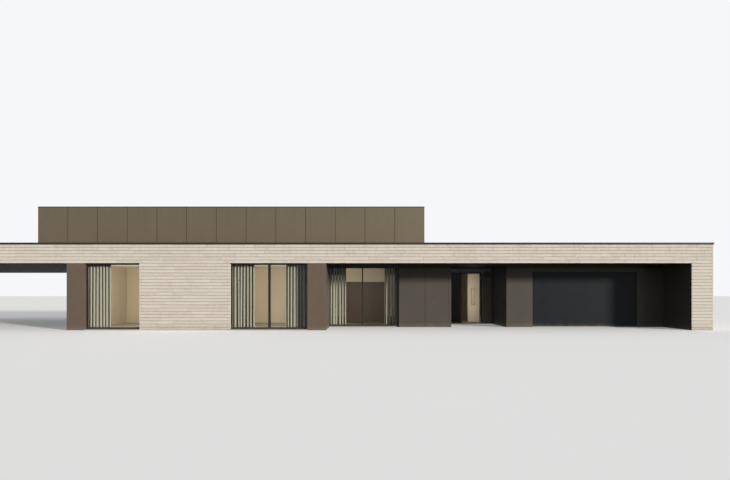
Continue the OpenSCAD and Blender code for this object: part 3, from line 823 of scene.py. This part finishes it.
class BUNGALOW_OT_cladding(bpy.types.Operator):
    """Finish the panels of the front, the recess and the entrance niche, and the garage door"""

    bl_idname = "bungalow.cladding"
    bl_label = "Cladding"

    def execute(self, context):
        look, plaster = context.scene.bungalow_cladding, context.scene.bungalow_rooms.plaster
        recess, niche = (
            (sum(corner.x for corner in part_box(node)) / 2, -FAR, 0.0)
            for node in ("garage_door", "entrance_side_walls")
        )
        left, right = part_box("recess_left_wall")[1].x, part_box("recess_side_panel")[0].x
        face_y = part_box("garage_side_panels")[0].y
        # Faces set back from the sides of this box get painted shade in the cladding finishes
        bay = (((left + right) / 2, -FAR, 0.0), ((right - left) / 2, face_y + FAR, 0.0))
        all_round, depth_only = (1.0, 1.0, 0.0), (0.0, 1.0, 0.0)
        deep = {"roughness": 0.3, "bay": bay}
        dark = {"roughness": 0.34}
        for name, colour, centre, along, extra, nodes in (
            ("Front panels", look.front, niche, depth_only, {"gloss": 0.4}, ["front_panels"]),
            ("Recess cladding", look.recess, recess, all_round, deep, [
                "recess_left_wall", "entrance_panel_wall", "garage_header", "recess_side_panel",
            ]),
            ("Garage cladding", look.recess, recess, depth_only, deep, ["garage_side_panels"]),
            # Painted shade on the niche sides and painted light on the end wall, both from one cladding
            ("Niche cladding painted shade", look.niche, niche, all_round, dark, ["entrance_side_walls"]),
            ("End wall cladding painted light", look.end_wall, niche, all_round, dark, ["entrance_end_wall"]),
            ("Header panel", look.header, niche, depth_only, {"gloss": 0.5}, ["entrance_header"]),
        ):
            paint(cladding_finish(name, colour, plaster, centre, along, **extra), *nodes)
        paint(paint_finish("Garage door paint", look.garage, 0.32, gloss=0.12), "garage_door")
        return {"FINISHED"}


class BUNGALOW_OT_soffits(bpy.types.Operator):
    """Board the soffits of the terrace, the recess and the entrance niche"""

    bl_idname = "bungalow.soffits"
    bl_label = "Soffit boards"

    def execute(self, context):
        look = context.scene.bungalow_cladding
        draw = random.Random(look.seed)
        boards = wood_finish("Soffit boards", look.soffit, 0.6, 0.12, (0.06, 1.0, 1.0))
        maker = Maker(boards, brick_finishes(context)[SOFFIT])
        low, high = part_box("soffits")
        panels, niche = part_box("front_panels"), solids("entrance_side_walls")
        recess_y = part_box("entrance_panel_wall")[0].y
        for x0, y0, x1, y1 in (
            (low.x, low.y, panels[0].x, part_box("roof_slab")[1].y),
            (panels[1].x, low.y, high.x, recess_y),
            (niche[0][1].x, recess_y, niche[1][0].x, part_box("entrance_end_wall")[0].y),
        ):
            maker.box((x0, y0, low.z + look.board_t), (x1, y1, high.z), SECOND)
            for ya, yb in even_cuts(y0, y1, look.board):
                for xa, xb in uneven_cuts(x0, x1, look.board_length, BOARD_LENGTHS, draw):
                    corner = (xb - look.board_end, yb - look.board_gap, low.z + look.board_t)
                    maker.slab((xa, ya, low.z), corner, look.board_arris, draw.random())
        maker.piece("soffit_boards", "soffit", replaces=["soffits"])
        return {"FINISHED"}


# Roof

class RoofSettings(bpy.types.PropertyGroup):
    membrane: colour("Membrane", "Colour of the roofing", (0.13, 0.125, 0.12))
    coping: colour("Copings", "Colour of the folded metal copings", (0.030, 0.026, 0.021))
    cassette: colour("Cassettes", "Cladding of the raised volume", (0.150, 0.118, 0.078))
    # The base colour is a dark backing, made darker as painted shade of the setback under the cassettes
    base: colour("Base", "Set-back base of the raised volume", (0.03, 0.027, 0.024))
    lap: length("Lap", "Spacing of the laps in the roofing", 2.0)
    lap_w: length("Lap width", "Width of a lap", 0.09)
    lap_t: length("Lap thickness", "Thickness of a lap", 0.005)
    lap_arris: length("Lap edges", "Broken edges of a lap", 0.002)
    fillet: length("Fillet", "Slanted strip where the roofing turns up", 0.06)
    seam: length("Seams", "Spacing of the joint covers on the copings", 3.0)
    seam_w: length("Seam width", "Width of a joint cover", 0.06)
    seam_t: length("Seam thickness", "Thickness of a joint cover", 0.002)


def cassette_finish(look, panel_z):
    """Matt metal cassettes, each a little different, over a dark base below panel_z."""
    finish = Finish("Taupe cassettes", metallic=0.4)
    low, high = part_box("upper_long_walls")
    broad, fine = finish.clouds(1.1), finish.clouds(18.0, low=0.35)
    body = finish.tint(look.cassette, shaded(look.cassette, 1.16), broad, 0.5)
    body = finish.tint(body, shaded(look.cassette, 0.8), fine, 0.35)
    rain = finish.group(rain_marks, Top=high.z, Reach=1.2)
    body = finish.tint(body, shaded(look.cassette, 0.55), rain, 0.25)
    depth = finish.group(depth_in_box, Centre=(low + high) / 2, Half=(high - low) / 2)
    # Partly painted shade: the set-back base and what lies deeper than the cassette faces take the dark
    # base colour
    face = finish.math("GREATER_THAN", depth, -JOINT_SKIN)
    panel = finish.times(face, finish.math("GREATER_THAN", finish.along("Z"), panel_z - JOINT_SKIN / 2))
    dents = finish.plus(finish.times(broad, 2.0), finish.times(finish.grain(120.0), 0.2))
    rough = finish.ramp(fine, 0.48, 0.6)
    return finish.done(dents, 0.001, base_color=finish.mix(panel, look.base, body), roughness=rough)


def fillet(maker, low, high, z, size, side):
    """A slanted strip along the foot of the walls round a field (side 1) or a block (side -1)."""
    rings = []
    for inset, rise in ((0.0, size), (side * size, 0.0)):
        edge = rectangle(low.x + inset, low.y + inset, high.x - inset, high.y - inset)
        rings.append([(x, y, z + rise) for x, y in edge])
    maker.sweep(rings[::side], capped=False)


def laps(maker, look, low, high, z, hole=None):
    """Laps of the roofing across a field, interrupted by a hole."""
    x = low.x + look.lap
    while x < high.x - look.lap / 2:
        stretches = [(low.y, high.y)]
        if hole and hole[0].x < x < hole[1].x:
            stretches = [(low.y, hole[0].y), (hole[1].y, high.y)]
        for y0, y1 in stretches:
            maker.slab((x, y0, z), (x + look.lap_w, y1, z + look.lap_t), look.lap_arris)
        x += look.lap


def roofing(look, membrane):
    """Laps and fillets on the flat roof, and a lapped sheet in the tray of the raised volume."""
    maker = Maker(membrane)
    low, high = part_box("roof_slab")
    z, size = high.z, look.fillet
    ends, sides = at_height("upper_end_walls", z), at_height("upper_long_walls", z)
    base_low, base_high = Vector((ends[0].x, sides[0].y)), Vector((ends[1].x, sides[1].y))
    fillet(maker, low, high, z, size, 1)
    fillet(maker, base_low, base_high, z, size, -1)
    inset = Vector((0, size))
    laps(maker, look, low.xy + inset, high.xy - inset, z, (base_low - inset, base_high + inset))
    tray_z = heights("upper_roof")[-2]
    tray_low, tray_high = at_height("upper_roof", tray_z)
    sheet_z = tray_z + look.lap_t
    maker.slab(tray_low, (*tray_high.xy, sheet_z), look.lap_arris)
    laps(maker, look, tray_low, tray_high, sheet_z)
    maker.piece("roofing_laps", "roofing")


def joint_covers(look, coping):
    """Covers over the joints of the copings, bent over their top and both faces."""
    maker = Maker(coping)
    low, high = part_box("long_copings")
    depth = solids("long_copings")[0][1].y - low.y
    inner_z = max(p.z for p in points_of("long_copings") if abs(p.y - low.y - depth) < CLOSE)
    t = look.seam_t
    outline = [
        (-t, low.z), (0, low.z), (0, high.z), (depth, inner_z), (depth, low.z),
        (depth + t, low.z), (depth + t, inner_z + t), (-t, high.z + t),
    ]
    for node, along in (("long_copings", 0), ("end_copings", 1)):
        low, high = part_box(node)
        for middle, _ in even_cuts(low[along], high[along], look.seam)[1:]:
            for edge, way in ((low[1 - along], 1), (high[1 - along], -1)):
                sections = [
                    turned([(place, edge + way * d, z) for d, z in outline], along)
                    for place in (middle - look.seam_w / 2, middle + look.seam_w / 2)
                ]
                maker.sweep(sections[::-way if along else way])
    maker.piece("coping_joint_covers", "coping")


class BUNGALOW_OT_roof(bpy.types.Operator):
    """Finish the roof: roofing with laps and fillets, copings with joint covers, raised volume"""

    bl_idname = "bungalow.roof"
    bl_label = "Roof"

    def execute(self, context):
        look = context.scene.bungalow_roof
        paint(roof_slab_finish(look.membrane, context.scene.bungalow_rooms.ceiling), "roof_slab")
        coping = paint_finish("Coping metal", look.coping, 0.5, 0.1, 0.2)
        paint(coping, "long_copings", "end_copings", "upper_roof")
        paint(cassette_finish(look, heights("upper_long_walls")[1]), "upper_long_walls", "upper_end_walls")
        roofing(look, brick_finishes(context)[ROOFING])
        joint_covers(look, coping)
        return {"FINISHED"}


# Windows

class WindowSettings(bpy.types.PropertyGroup):
    frame_colour: colour("Frames", "Powder coat of the frames", (0.022, 0.019, 0.017))
    glass: colour("Glass", "Tint of the glass", (0.95, 0.97, 0.96))
    smoke: colour("Smoked glass", "Tint of the narrow window beside the door", (0.07, 0.075, 0.08))
    rubber: colour("Gaskets", "Colour of the glazing gaskets", (0.012, 0.012, 0.012))
    bite: length("Bite", "Glass held in the frame", 0.012)
    gasket_w: length("Gasket width", "Width of a gasket", 0.007)
    gasket_t: length("Gasket height", "How far a gasket stands off the glass", 0.004)


# Height of a gasket towards the middle of the pane, in that at the frame
GASKET_TAPER = 0.6


def gaskets(maker, low, high, look):
    """A rubber strip round the glass on both sides of a pane."""
    across = 0 if high.x - low.x > high.y - low.y else 1
    far = look.bite + look.gasket_w
    for face, way in ((low[1 - across], -1), (high[1 - across], 1)):
        rings = []
        for inset, lift in (
            (look.bite, 0.0), (look.bite, look.gasket_t), (far, look.gasket_t * GASKET_TAPER), (far, 0.0),
        ):
            edge = rectangle(low[across] + inset, low.z + inset, high[across] - inset, high.z - inset)
            rings.append(turned([(a, face + way * lift, z) for a, z in edge], across))
        corners = list(zip(*rings))
        maker.sweep(corners + corners[:1], capped=False)


class BUNGALOW_OT_windows(bpy.types.Operator):
    """Finish the window frames and the glass, and add the glazing gaskets"""

    bl_idname = "bungalow.windows"
    bl_label = "Windows"

    def execute(self, context):
        look = context.scene.bungalow_window
        paint(
            paint_finish("Bronze powder coat", look.frame_colour, 0.4, 0.3, 0.3), "door_frame",
            "window_a_frame", "window_b_frame", "window_c_frame", "garden_window_frames", "sidelight_frame",
        )
        smoked = [corner.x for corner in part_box("sidelight_frame")]
        paint(glass_finish("Front glass", look.glass, look.smoke, smoked), "front_window_glass")
        paint(glass_finish("Garden glass", look.glass), "garden_window_glass")
        maker = Maker(paint_finish("Gasket rubber", look.rubber, 0.7))
        for low, high in solids("front_window_glass") + solids("garden_window_glass"):
            gaskets(maker, low, high, look)
        maker.piece("glazing_gaskets", "window_frame")
        return {"FINISHED"}


# Entrance

class EntranceSettings(bpy.types.PropertyGroup):
    leaf: colour("Door leaf", "Paint of the entrance door", (0.62, 0.54, 0.42))
    brass: colour("Pull", "Aged brass of the pull", (0.42, 0.31, 0.13))
    steel: colour("Hinges", "Steel of the hinges", (0.45, 0.45, 0.44))
    lamp: colour("Lamp", "Paint of the lamp", (0.012, 0.012, 0.012))
    opal: colour("Opal glass", "Diffuser of the lamp", (0.75, 0.73, 0.68))
    arris: length("Arris", "Broken edges of the lamp", 0.003)
    lamp_wall: length("Lamp walls", "Thickness of the walls of the lamp", 0.006)
    lamp_lip: length("Lamp lip", "How far the walls stand out below the lamp", 0.012)


def lamp_housing(look):
    """A box lamp whose walls stand out below an opal pane."""
    low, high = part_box("entrance_lamp")
    maker = Maker(paint_finish("Lamp paint", look.lamp, 0.45), paint_finish("Opal glass", look.opal, 0.25))
    wall, rim = look.lamp_wall, low.z + look.lamp_lip
    maker.slab((low.x, low.y, rim), high, look.arris)
    left, right, near, back = low.x + wall, high.x - wall, low.y + wall, high.y - wall
    for x0, y0, x1, y1 in (
        (low.x, low.y, left, high.y), (right, low.y, high.x, high.y),
        (left, low.y, right, near), (left, back, right, high.y),
    ):
        maker.box((x0, y0, low.z), (x1, y1, rim))
    maker.box((left, near, low.z + look.lamp_lip / 2), (right, back, rim), SECOND)
    maker.piece("entrance_lamp_housing", "lamp", replaces=["entrance_lamp"])


class BUNGALOW_OT_entrance(bpy.types.Operator):
    """Finish the entrance: leaf, hinges, pull and lamp"""

    bl_idname = "bungalow.entrance"
    bl_label = "Entrance"

    def execute(self, context):
        look = context.scene.bungalow_entrance
        paint(metal_finish("Hinge steel", look.steel, 0.35), "door_hinges")
        paint(metal_finish("Aged brass", look.brass, 0.32, (1.0, 1.0, 0.05)), "door_handle")
        paint(paint_finish("Door paint", look.leaf, 0.38), "front_door")
        lamp_housing(look)
        return {"FINISHED"}


# Rooms behind the glass

class RoomSettings(bpy.types.PropertyGroup):
    plaster: colour("Plaster", "Beige walls of the rooms", (0.66, 0.57, 0.43))
    ceiling: colour("Ceiling", "Ceiling of the rooms", (0.72, 0.68, 0.60))
    floor: colour("Floor", "Floor of the rooms", (0.30, 0.27, 0.23))
    slab: colour("Slab", "Concrete edges of the floor slab", (0.36, 0.34, 0.31))
    panelling: colour("Panelling", "Wall panelling", (0.13, 0.088, 0.06))
    track: colour("Tracks", "Curtain tracks", (0.75, 0.74, 0.71))
    panel: length("Panel width", "Width of a board of the panelling", 1.19)
    panel_gap: length("Panel joint", "Joint in the panelling", 0.005)
    panel_t: length("Panel thickness", "Thickness of the boards of the panelling", 0.018)
    panel_arris: length("Panel edges", "Broken edges of the boards of the panelling", 0.002)


# Tones of the boards of the panelling in turns
PANEL_TONES = (0.35, 0.65)


class BUNGALOW_OT_rooms(bpy.types.Operator):
    """Finish what shows of the rooms: floor, inner wall, panelling and curtain tracks"""

    bl_idname = "bungalow.rooms"
    bl_label = "Rooms"

    def execute(self, context):
        look = context.scene.bungalow_rooms
        paint(plaster_finish("Inner wall plaster", look.plaster), "spine_wall")
        paint(floor_slab_finish(look), "floor_slab")
        paint(paint_finish("Track paint", look.track, 0.4), "curtain_tracks")
        veneer = wood_finish("Panelling veneer", look.panelling, 0.42, 0.3, (1.0, 1.0, 0.06))
        maker = Maker(veneer, brick_finishes(context)[SOFFIT])
        low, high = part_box("wall_panelling")
        maker.box((low.x, low.y + look.panel_t, low.z), high, SECOND)
        cuts = even_cuts(low.x, high.x, look.panel)
        for i, (left, right) in enumerate(cuts):
            gap = look.panel_gap if i < len(cuts) - 1 else 0
            corner = (right - gap, low.y + look.panel_t, high.z)
            maker.slab((left, low.y, low.z), corner, look.panel_arris, PANEL_TONES[i % 2])
        maker.piece("panelling_boards", "panelling", replaces=["wall_panelling"])
        return {"FINISHED"}


# Curtains

class CurtainSettings(bpy.types.PropertyGroup):
    cloth: colour("Cloth", "Colour of the curtains", (0.42, 0.38, 0.305))
    pleat: length("Pleat", "Distance between two pleats", 0.145)
    deep: length("Depth", "How far the pleats swing from the middle", 0.041)
    sway: length("Sway", "How far the folds drift sideways at the hem", 0.022)
    fullness: number("Fullness", "Bulge of the folds in pleats", 0.15)
    cloth_t: length("Thickness", "Thickness of the cloth", 0.0016)
    hem: length("Hem", "Height of the hem and the heading", 0.1)
    hem_plies: number("Hem plies", "How much thicker the hem and the heading are", 2.2)
    columns: whole("Columns", "Points across one pleat", 20)
    rows: whole("Rows", "Points up the cloth", 24)
    seed: whole("Seed", "Choice of the uneven pleats", 11)


# How early the folds come loose below the heading, and how fast the drift starts at the sides
LOOSENING = 0.7
SIDE_START = 6
# Depth that the loose folds and the heading lose, and how far the loose folds turn
LOOSE_FLATTER = 0.16
HEADING_FLATTER = 0.05
LOOSE_TURN = 0.5


def wander(values, place):
    """The value at a place on a smooth line through evenly spaced values."""
    i = min(int(place), len(values) - 2)
    share = place - i
    share = share * share * (3 - 2 * share)
    return values[i] * (1 - share) + values[i + 1] * share


def hang(title, node, low, high, look, cloth, draw):
    """One curtain: even waves at the heading that open and wander towards the hem."""
    width, height = high.x - low.x, high.z - low.z
    y = (low.y + high.y) / 2
    pleats = round(width / look.pleat)
    columns = pleats * look.columns
    pushes, drifts = ([draw.uniform(-1, 1) for _ in range(pleats * 2 + 3)] for _ in range(2))
    rows, flat = [], 0.0
    for r in range(look.rows + 1):
        up = r / look.rows
        loose = (1 - up) ** LOOSENING
        row = []
        for c in range(columns + 1):
            s = c / columns
            push, drift = (wander(values, s * pleats * 2) for values in (pushes, drifts))
            edge = min(1.0, SIDE_START * min(s, 1 - s))
            flatter = LOOSE_FLATTER * loose * abs(push)
            swing = look.deep * (1 - flatter - HEADING_FLATTER * (1 - loose))
            turn = 2 * math.pi * s * pleats + LOOSE_TURN * loose * push
            bulge = look.fullness * math.sin(2 * turn) * width / pleats * edge
            x = low.x + s * width + loose * look.sway * drift * edge - bulge
            row.append(Vector((x, y + swing * math.sin(turn), low.z + up * height)))
        rows.append(row)
        flat += sum((b - a).length for a, b in zip(row, row[1:])) / (look.rows + 1)
    maker = Maker(cloth)
    cloth_skin(maker, rows, look, y)
    piece = maker.piece(title, "curtain", replaces=[node], smooth=True)


def cloth_skin(maker, rows, look, y):
    """Front and back of the cloth, thicker at the hem and the heading, closed round the rim."""
    count, lines = len(rows[0]), len(rows)
    height = rows[-1][0].z - rows[0][0].z
    points, faces, tones = [], [], []
    for side in (-1, 1):
        for r, row in enumerate(rows):
            up = height * r / (lines - 1)
            thick = look.cloth_t * (look.hem_plies if min(up, height - up) < look.hem else 1.0)
            for c, point in enumerate(row):
                along = (row[min(c + 1, count - 1)] - row[max(c - 1, 0)]).normalized()
                points.append(point + Vector((along.y, -along.x, 0)) * (-side * thick / 2))
    back = lines * count
    for r in range(lines - 1):
        for c in range(count - 1):
            i = r * count + c
            j = i + back
            faces += [(i, i + count, i + count + 1, i + 1), (j, j + 1, j + count + 1, j + count)]
            # Painted shade: each side's tone is lighter where the cloth bulges towards that side and darker
            # deep in a fold
            out = (y - (rows[r][c].y + rows[r][c + 1].y) / 2) / look.deep
            tones += [0.5 + 0.5 * out, 0.5 - 0.5 * out]
    rim = [
        *range(count), *range(2 * count - 1, back, count),
        *range(back - 2, back - count - 1, -1), *range(back - 2 * count, 0, -count),
    ]
    faces += [(a, b, back + b, back + a) for a, b in zip(rim, rim[1:] + rim[:1])]
    maker.add(points, faces, 0, tones + [0.5] * len(rim))


class BUNGALOW_OT_curtains(bpy.types.Operator):
    """Hang the pleated curtains on their tracks"""

    bl_idname = "bungalow.curtains"
    bl_label = "Curtains"

    def execute(self, context):
        look = context.scene.bungalow_curtain
        cloth = cloth_finish(look.cloth)
        draw = random.Random(look.seed)
        for node, titles in (
            ("curtain_a", ["curtain_a_cloth"]),
            ("curtains_b", ["curtain_b_left_cloth", "curtain_b_right_cloth"]),
            ("curtains_c", ["curtain_c_left_cloth", "curtain_c_right_cloth"]),
        ):
            for title, (low, high) in zip(titles, solids(node)):
                hang(title, node, low, high, look, cloth, draw)
        return {"FINISHED"}


# Stage

class StageSettings(bpy.types.PropertyGroup):
    lens: number("Lens", "Focal length on a 36 mm wide sensor", 24.0)
    eye: length("Eye height", "Height of the camera", 1.6)
    distance: length("Distance", "From the front to the camera", 21.3)
    across: length("Across", "Place of the camera along the front", 4.63)
    shift: number("Shift", "Upward shift of the picture", 0.0736)
    clip: length("Far limit", "Greatest distance that the camera sees", 500.0)
    reach: length("Reach", "How far the floor reaches to each side", 300.0)
    drop: length("Drop", "How far the floor lies under the foot of the house", 0.001)
    ground: colour("Ground", "Colour of the floor", (0.86, 0.86, 0.86))
    glow: number("Glow", "How much paler the floor is seen than lit", 0.22)
    bounce: colour("Bounce", "Colour of the light that the floor throws on the house", (0.14, 0.135, 0.125))
    sun: number("Sun", "Strength of the main light", 4.25)
    sun_tint: colour("Sun tint", "Colour of the main light", (1.0, 0.96, 0.90))
    sun_soft: angle("Softness", "Angle of the main light", 7)
    sun_side: angle("Sun side", "Direction of the main light from the front", 52)
    sun_up: angle("Sun height", "Height of the main light", 12.5)
    sky: number("Sky", "Strength of the light from all round", 0.37)
    sky_tint: colour("Sky tint", "Colour of the light from all round", (0.93, 0.96, 1.0))
    white: number("White", "Strength of the background that is seen", 0.95)
    white_tint: colour("White tint", "Colour of the background that is seen", (0.97, 0.98, 1.0))
    room: number("Room lamps", "Power of each lamp behind the windows", 77.0)
    garden: number("Rear lamps", "Power of each lamp in the rear rooms", 10.0)
    hall: number("Hall lamp", "Power of the strip beside the open door", 10.0)
    lamp_tint: colour("Lamp tint", "Colour of the lamps in the rooms", (1.0, 0.93, 0.82))
    lamp_gap: length("Lamp distance", "From a window to the lamp behind it", 0.3)
    lamp_h: length("Lamp height", "Height of the lamps behind the windows", 2.0)


SENSOR_WIDTH = 36.0
# Size of the strip in the hall, and where it stands from the left rear corner of the door frame
HALL_LAMP_SIZE = (2.3, 0.2)
HALL_LAMP_STEP = (-0.15, 0.35)


def pale_floor(look):
    """The floor, which is paler where it is seen than in the light it throws."""
    finish = Finish("Pale floor", roughness=0.9, specular_ior_level=0.0)
    pale = finish.tint(look.ground, shaded(look.ground, 0.96), finish.clouds(0.2), 0.3)
    seen = finish.in_view()
    finish.set(base_color=finish.mix(seen, look.bounce, pale), emission_color=look.ground)
    finish.set(emission_strength=finish.times(seen, look.glow))
    mesh = bpy.data.meshes.new("studio_floor")
    corners = rectangle(-look.reach, -look.reach, look.reach, look.reach)
    mesh.from_pydata([(x, y, -look.drop) for x, y in corners], [], [(0, 1, 2, 3)])
    mesh.materials.append(finish.material)
    floor = into_scene("studio_floor", mesh)


def area_lamp(look, name, power, size, place, turn):
    """A lamp that lights the rooms and is not seen itself."""
    light = bpy.data.lights.new(name, "AREA")
    light.shape = "RECTANGLE"
    light.size, light.size_y = size
    light.energy = power
    light.color = look.lamp_tint
    lamp = into_scene(name, light)
    lamp.location, lamp.rotation_euler = place, turn
    lamp.visible_camera = lamp.visible_glossy = lamp.visible_transmission = False


def window_lamp(look, name, power, low, high, y, way):
    """A lamp as wide as a window, which shines along Y in the given way."""
    place = ((low.x + high.x) / 2, y, (low.z + high.z) / 2)
    area_lamp(look, name, power, (high.x - low.x, look.lamp_h), place, (way * math.pi / 2, 0.0, 0.0))


def room_lamps(look):
    """Soft lamps behind the windows on both sides of the inner wall, and a strip by the open door."""
    wall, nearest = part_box("spine_wall")[0].y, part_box("window_a_frame")[1].y
    for node in ("window_a_frame", "window_b_frame", "window_c_frame"):
        low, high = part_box(node)
        y = high.y + look.lamp_gap
        power = look.room * ((wall - y) / (wall - nearest)) ** 2
        window_lamp(look, "Room lamp", power, low, high, y, 1)
    for low, high in solids("garden_window_frames"):
        if high.x - low.x > high.y - low.y:
            window_lamp(look, "Garden lamp", look.garden, low, high, low.y - look.lamp_gap, -1)
    low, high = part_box("door_frame")
    beside = (low.x + HALL_LAMP_STEP[0], high.y + HALL_LAMP_STEP[1], high.z / 2)
    area_lamp(look, "Hall lamp", look.hall, HALL_LAMP_SIZE, beside, (0.0, -math.pi / 2, 0.0))


def studio_sky(look):
    """Soft light from all round, and a white background where it is seen."""
    world = bpy.data.worlds.new("Studio sky")
    world.use_nodes = True
    bpy.context.scene.world = world
    shade = Shade(world.node_tree)
    soft = shade.node("Background", {"Color": look.sky_tint, "Strength": look.sky})
    white = shade.node("Background", {"Color": look.white_tint, "Strength": look.white})
    both = shade.node("MixShader", {0: shade.in_view(), 1: soft.outputs[0], 2: white.outputs[0]})
    shade.feed(world.node_tree.nodes["World Output"].inputs[0], both.outputs[0])


class BUNGALOW_OT_stage(bpy.types.Operator):
    """Set the pale floor, the soft light and the camera"""

    bl_idname = "bungalow.stage"
    bl_label = "Stage"

    def execute(self, context):
        look, scene = context.scene.bungalow_stage, context.scene
        scene.view_settings.view_transform = "Standard"
        pale_floor(look)
        studio_sky(look)
        light = bpy.data.lights.new("Main light", "SUN")
        light.energy, light.angle, light.color = look.sun, look.sun_soft, look.sun_tint
        sun = into_scene("Main light", light)
        sun.rotation_euler = (math.pi / 2 - look.sun_up, 0.0, look.sun_side)
        room_lamps(look)
        camera = bpy.data.cameras.new("Camera")
        camera.lens, camera.sensor_width = look.lens, SENSOR_WIDTH
        camera.shift_y, camera.clip_end = look.shift, look.clip
        view = into_scene("Camera", camera)
        view.location = (look.across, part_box("front_wall")[0].y - look.distance, look.eye)
        view.rotation_euler = (math.pi / 2, 0.0, 0.0)
        scene.camera = view
        return {"FINISHED"}


class BUNGALOW_PT_dressing(bpy.types.Panel):
    """The steps of dressing the house, in order"""

    bl_label = "Bungalow"
    bl_idname = "BUNGALOW_PT_dressing"
    bl_space_type = "VIEW_3D"
    bl_region_type = "UI"
    bl_category = "Bungalow"

    def draw(self, context):
        for step in STEPS:
            self.layout.operator(step.bl_idname)
        for name in SETTINGS:
            look = getattr(context.scene, name)
            box = self.layout.box()
            for field in look.__annotations__:
                box.prop(look, field)


SETTINGS = {
    "bungalow_brick": BrickSettings,
    "bungalow_cladding": CladdingSettings,
    "bungalow_roof": RoofSettings,
    "bungalow_window": WindowSettings,
    "bungalow_entrance": EntranceSettings,
    "bungalow_rooms": RoomSettings,
    "bungalow_curtain": CurtainSettings,
    "bungalow_stage": StageSettings,
}

STEPS = (
    BUNGALOW_OT_stage,
    BUNGALOW_OT_brick_walls,
    BUNGALOW_OT_brick_piers,
    BUNGALOW_OT_brick_band,
    BUNGALOW_OT_cladding,
    BUNGALOW_OT_soffits,
    BUNGALOW_OT_roof,
    BUNGALOW_OT_windows,
    BUNGALOW_OT_entrance,
    BUNGALOW_OT_rooms,
    BUNGALOW_OT_curtains,
)


def register():
    for name, group in SETTINGS.items():
        bpy.utils.register_class(group)
        setattr(bpy.types.Scene, name, PointerProperty(type=group))
    for step in STEPS + (BUNGALOW_PT_dressing,):
        bpy.utils.register_class(step)


def unregister():
    for step in reversed(STEPS + (BUNGALOW_PT_dressing,)):
        bpy.utils.unregister_class(step)
    for name, group in SETTINGS.items():
        delattr(bpy.types.Scene, name)
        bpy.utils.unregister_class(group)


def main():
    register()
    for step in STEPS:
        group, name = step.bl_idname.split(".")
        getattr(getattr(bpy.ops, group), name)()


if __name__ == "__main__":
    main()
